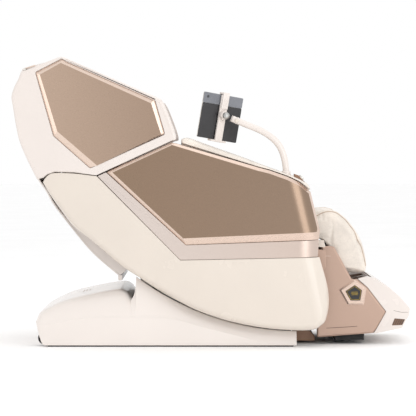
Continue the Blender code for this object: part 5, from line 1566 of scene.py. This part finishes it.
def back_pad():
    """Back cover: side bolsters and a quilted middle, open seams where the rollers travel."""
    long_seams = [[back_point(0.02 + 0.025 * k, back_front(0.02 + 0.025 * k), y)
                   for k in range(31)] for y in (-0.130, 0.130)]
    cross = [[back_point(s, back_front(s), y) for y in (-0.13, -0.065, 0.0, 0.065, 0.13)]
             for s in (0.085, 0.165, 0.245, 0.325, 0.405, 0.485, 0.560)]
    pad = Padding("back_pad", "back_pad_cover", 0.0065)
    pad.stuff(long_seams + cross, lambda co, n: n.dot(BACK_N) < -0.4, 4.0, 0.018)
    obj = pad.done(LEATHER_BROWN, "chair")
    stitches("back_stitches", obj, long_seams, THREAD, "chair")


def head_pillow():
    """Three-part head pillow with a piped edge, hung over the back pad."""
    top = [(0.575, 0.030), (0.610, 0.050), (0.680, 0.056), (0.740, 0.044), (0.770, 0.020)]
    seams = [[back_point(s, o, y) for s, o in top] for y in (-0.062, 0.062)]
    pad = Padding("head_pillow", "head_pillow_cover", 0.0045, 0.005)
    pad.stuff(seams, lambda co, n: n.dot(BACK_N) < -0.5, 4.0, 0.016, 0.008, 0.009)
    obj = pad.done(LEATHER_CREAM, "chair", 0.9)
    stitches("pillow_stitches", obj, seams, THREAD, "chair")
    for side in (-1, 1):
        edge = [back_point(s, o - 0.008, side * 0.146) for s, o in top]
        piping(f"pillow_piping_{'right' if side < 0 else 'left'}", obj, flowing(edge, 6), 0.0022,
               LEATHER_PIPING, "chair")


def paired_pad(node_stem, name, build_pad, material, seams):
    """Makes the right-hand pad, then its mirrored twin, each with its stitches."""
    pad = build_pad(f"{node_stem}_right", name + "_right")
    twin = mirrored(pad.obj, name + "_left")
    obj = pad.done(material, "chair")
    finished(twin, material, "chair", [f"{node_stem}_left"], weighted=False)
    stitches(name + "_stitches_right", obj, seams, THREAD, "chair")
    other = [[(p[0], -p[1], p[2]) for p in line] for line in seams]
    stitches(name + "_stitches_left", twin, other, THREAD, "chair")


def shoulder_airbags():
    """Wing cushions with three sewn air cells each."""
    y = -0.244
    seams = [
        flowing([(-0.700, y, 0.870), (-0.560, y, 0.858), (-0.400, y, 0.868), (-0.215, y, 0.900)], 4),
        flowing([(-0.735, y, 0.985), (-0.560, y, 0.975), (-0.400, y, 0.975), (-0.250, y, 0.985)], 4),
    ]

    def make(node, name):
        pad = Padding(node, name, 0.0065, 0.005)
        return pad.stuff(seams, lambda co, n: n.y < -0.4, 4.0, 0.016, 0.011, 0.012)
    paired_pad("shoulder_airbag", "wing_cushion", make, LEATHER_CREAM, seams)


def arm_line(x):
    return 0.816 - 0.352 * (x + 0.120)


def arm_liners():
    """Trough lining with cells across the wall and floor."""
    seams = []
    for x in (-0.040, 0.040, 0.120, 0.200):
        top = arm_line(x)
        seams.append([(x, -0.338, top - 0.012), (x, -0.338, top - 0.060),
                      (x, -0.330, top - 0.094), (x, -0.280, top - 0.095)])

    def make(node, name):
        pad = Padding(node, name, 0.0045, 0.003, 4)
        return pad.stuff(seams, lambda co, n: n.y < -0.5 or n.z < -0.6, 3.0, 0.008, 0.007, 0.006)
    paired_pad("arm_liner", "arm_trough_lining", make, LEATHER_BROWN, seams)


def calf_pad():
    """Knee roll and calf pads; cream outside, brown in the calf channels."""
    pad = Padding("calf_pad", "calf_pad_cover", 0.0055, 0.004)
    half = pad.high[1]
    roll = [(0.300, 0.472), (0.345, 0.515), (0.389, 0.538), (0.429, 0.549), (0.462, 0.560),
            (0.489, 0.563), (0.520, 0.553), (0.560, 0.520), (0.596, 0.472), (0.627, 0.402),
            (0.640, 0.330)]
    seams = [[(x, y, z) for x, z in roll[:9]] for y in (-0.170, 0.0, 0.170)]
    pad.stuff(seams, lambda co, n: co.x < 0.488 and n.z < 0.2 and co.z < 0.44, 3.5, 0.010, 0.008,
              0.006)
    obj = pad.done(None, "leg_rest")
    obj.data.materials.clear()
    for material in (LEATHER_CREAM, LEATHER_BROWN):
        obj.data.materials.append(material)
    for polygon in obj.data.polygons:
        x, y, z = polygon.center
        in_channel = 0.030 < abs(y) < 0.162 and x > 0.530 and z < 0.53
        polygon.material_index = 1 if in_channel else 0
    stitches("calf_stitches", obj, [seams[0], seams[2]], THREAD, "leg_rest")
    for side in (-1, 1):
        edge = [(x, side * (half - 0.0022), z - 0.010) for x, z in roll[2:]]
        piping(f"calf_piping_{'right' if side < 0 else 'left'}", obj, flowing(edge, 4), 0.0016,
               LEATHER_PIPING, "leg_rest")


def foot_lining():
    pad = Padding("foot_lining", "foot_lining_cover", 0.005, 0.0012, 3)
    subdivided(pad.obj)
    obj = pad.done(LEATHER_DARK, "foot_unit", 0.5)
    lines = []
    for y in (-0.0975, 0.0975):
        rim = [(0.5120, y - 0.06, 0.262), (0.6440, y - 0.06, 0.266), (0.6440, y + 0.06, 0.266),
               (0.5120, y + 0.06, 0.262)]
        lines.append(rim)
    stitches("foot_stitches", obj, lines, THREAD, "foot_unit")


ARM_TOP = [(-0.128, 0.850), (-0.100, 0.853), (0.000, 0.817), (0.120, 0.775), (0.228, 0.734),
           (0.330, 0.698), (0.382, 0.672), (0.396, 0.656)]
ARM_EDGE = [(-0.128, 0.8325), (0.186, 0.7345), (0.232, 0.7235), (0.303, 0.6985), (0.353, 0.6755),
            (0.394, 0.6435), (0.396, 0.6430)]
ARM_UNDER = [(-0.128, 0.8188), (0.272, 0.6780), (0.352, 0.6500), (0.386, 0.6250),
             (0.391, 0.6400), (0.396, 0.6410)]


def armrest_pads():
    """Long crowned arm pads with a side seam; the right one has the pod's and tube's seats."""
    tops = flowing(ARM_TOP, 4)
    rings = []
    for k in range(57):
        x = -0.1280 + (0.3955 + 0.1280) * k / 56
        end = min(k, 56 - k, 5) / 5
        shy = 0.0045 * (1 - math.sqrt(1 - (1 - end) ** 2))
        top, low, under = between(tops, x), between(ARM_EDGE, x), between(ARM_UNDER, x)
        low = min(low, top - 0.008)
        under = min(under, low - 0.0012)
        section = [(-0.2620 - shy, under + shy), (-0.3655 + shy, under + shy), (-0.3655 + shy, low),
                   (-0.3980 + shy, low + 0.0005), (-0.3980 + shy, top - 0.006 - shy),
                   (-0.3300, top - shy), (-0.2620 - shy, top - 0.004 - shy)]
        radii = [0.006, 0.002, 0.001, 0.0035, 0.011, 0.060, 0.010]
        ring = fillet(section, [min(r, (top - low) * 0.7) for r in radii], 5)
        rings.append([(x, y, z) for y, z in ring])
    pad = lofted("arm_pad", rings)
    left = mirrored(pad, "arm_pad_left")
    pad = boolean(pad, turned("seat", (TAB_X, TAB_Y, 0.60), (TAB_X, TAB_Y, 0.80),
                              [(0.0, 0.0194), (0.2, 0.0194)], 48))
    pad = boolean(pad, box_solid("pod_seat", (0.3325, -0.3648, 0.60), (0.3730, -0.2732, 0.80),
                                 0.0))
    pad.name = "arm_pad_right"
    for obj, side in ((left, "left"), (pad, "right")):
        finished(obj, LEATHER_CREAM, "chair", ["armrest_pad_" + side])
    line = [(x, -0.3450, between(tops, x)) for x in
            [-0.110 + 0.3850 * k / 40 for k in range(41)]]
    for obj, side, flip in ((left, "left", -1), (pad, "right", 1)):
        stitches("arm_stitches_" + side, obj, [[(x, y * flip, z) for x, y, z in line]], THREAD,
                 "chair", 0.0)


# ---------------------------------------------------------------- pod and front details

def pod_details():
    """Button ring, dial seat and two lamps on the arm's control pod."""
    spots = []
    for y, radius in ((START_Y, 0.0086), (DIAL_Y, 0.0136)):
        centre = Vector((POD_X, y, POD_Z)) - POD_N * 0.0003
        spots.append(sleeve("ring", centre, centre + POD_N * 0.001, [
            (0.0, radius - 0.0010), (0.0, radius), (0.0008, radius), (0.0012, radius - 0.0004),
            (0.0010, radius - 0.0010)], 40))
    finished(merged("pod_rings", *spots), CHROME, "chair")
    lamps = []
    for y in (-0.3230, -0.3180):
        centre = Vector((POD_X, y, POD_Z)) - POD_N * 0.0006
        lamps.append(turned("lamp", centre, centre + POD_N, [
            (0.0, 0.0013), (0.0009, 0.0013), (0.0013, 0.0007)], 16))
    finished(merged("pod_lamps", *lamps), CHAMPAGNE, "chair")


# ---------------------------------------------------------------- studio

def area_light(name, location, target, size, power, colour=(1.0, 1.0, 1.0)):
    light = bpy.data.lights.new(name, "AREA")
    light.shape = "RECTANGLE"
    light.size, light.size_y = size
    light.energy = power
    light.color = colour
    obj = bpy.data.objects.new(name, light)
    obj.location = location
    aim = Vector(target) - Vector(location)
    obj.rotation_euler = aim.to_track_quat("-Z", "Y").to_euler()
    bpy.context.scene.collection.objects.link(obj)
    return obj


FLOOR_HALF = 40
CAMERA_X, CAMERA_AWAY, CAMERA_Z, AIM_Z = -0.019, 9.0, 0.807, 0.557
SENSOR, FOCAL = 36.0, 183.6


def studio():
    """White floor and world, three soft lights, and a long-lens side camera."""
    mesh = bpy.data.meshes.new("floor")
    half = FLOOR_HALF
    mesh.from_pydata([(-half, -half, 0), (half, -half, 0), (half, half, 0), (-half, half, 0)], [],
                     [(0, 1, 2, 3)])
    floor = new_object("floor", mesh)
    finish = Finish("floor_paint")
    finish.colour(finish.ramp(finish.noise(1.5), [(0.3, (0.97, 0.97, 0.97, 1.0)),
                                                  (0.7, (1.0, 1.0, 1.0, 1.0))]))
    finish.rough(0.75, 0.9, 3.0)
    floor.data.materials.append(finish.material)
    world = bpy.data.worlds.new("studio")
    world.use_nodes = True
    backdrop = world.node_tree.nodes["Background"]
    backdrop.inputs["Color"].default_value = (1.0, 1.0, 1.0, 1.0)
    backdrop.inputs["Strength"].default_value = 1.0
    bpy.context.scene.world = world
    area_light("overhead", (0.2, 0.2, 4.2), (0.0, 0.0, 0.5), (4.0, 4.0), 34.0)
    area_light("front_right", (2.8, -3.8, 1.6), (0.2, 0.0, 0.6), (2.4, 2.6), 48.0)
    area_light("left_low", (-3.6, -2.6, 0.7), (-0.3, 0.0, 0.4), (1.6, 1.4), 8.0,
               (1.0, 0.90, 0.86))
    bpy.context.scene.view_settings.view_transform = "Standard"
    lens = bpy.data.cameras.new("camera")
    lens.sensor_width = SENSOR
    lens.lens = FOCAL
    lens.clip_end = 100.0
    camera = bpy.data.objects.new("camera", lens)
    camera.location = (CAMERA_X, -CAMERA_AWAY, CAMERA_Z)
    aim = Vector((CAMERA_X, 0.0, AIM_Z)) - camera.location
    camera.rotation_euler = aim.to_track_quat("-Z", "Y").to_euler()
    bpy.context.scene.collection.objects.link(camera)
    bpy.context.scene.camera = camera


for make in (studio, kept_parts, side_cover, rear_hood, transport_wheel, lower_skin, trim_strip,
             arm_panel, armrest_pads, shoulder_shell, shoulder_panel, shoulder_beads, head_lining,
             back_cover, tablet_arm, clamp_and_jaw, tablet, controls, pod_details, leg_side_panel,
             foot_shell, kneading_wheels, foot_rollers, foot_lining, seat_cushion, back_pad,
             head_pillow, shoulder_airbags, arm_liners, calf_pad):
    make()
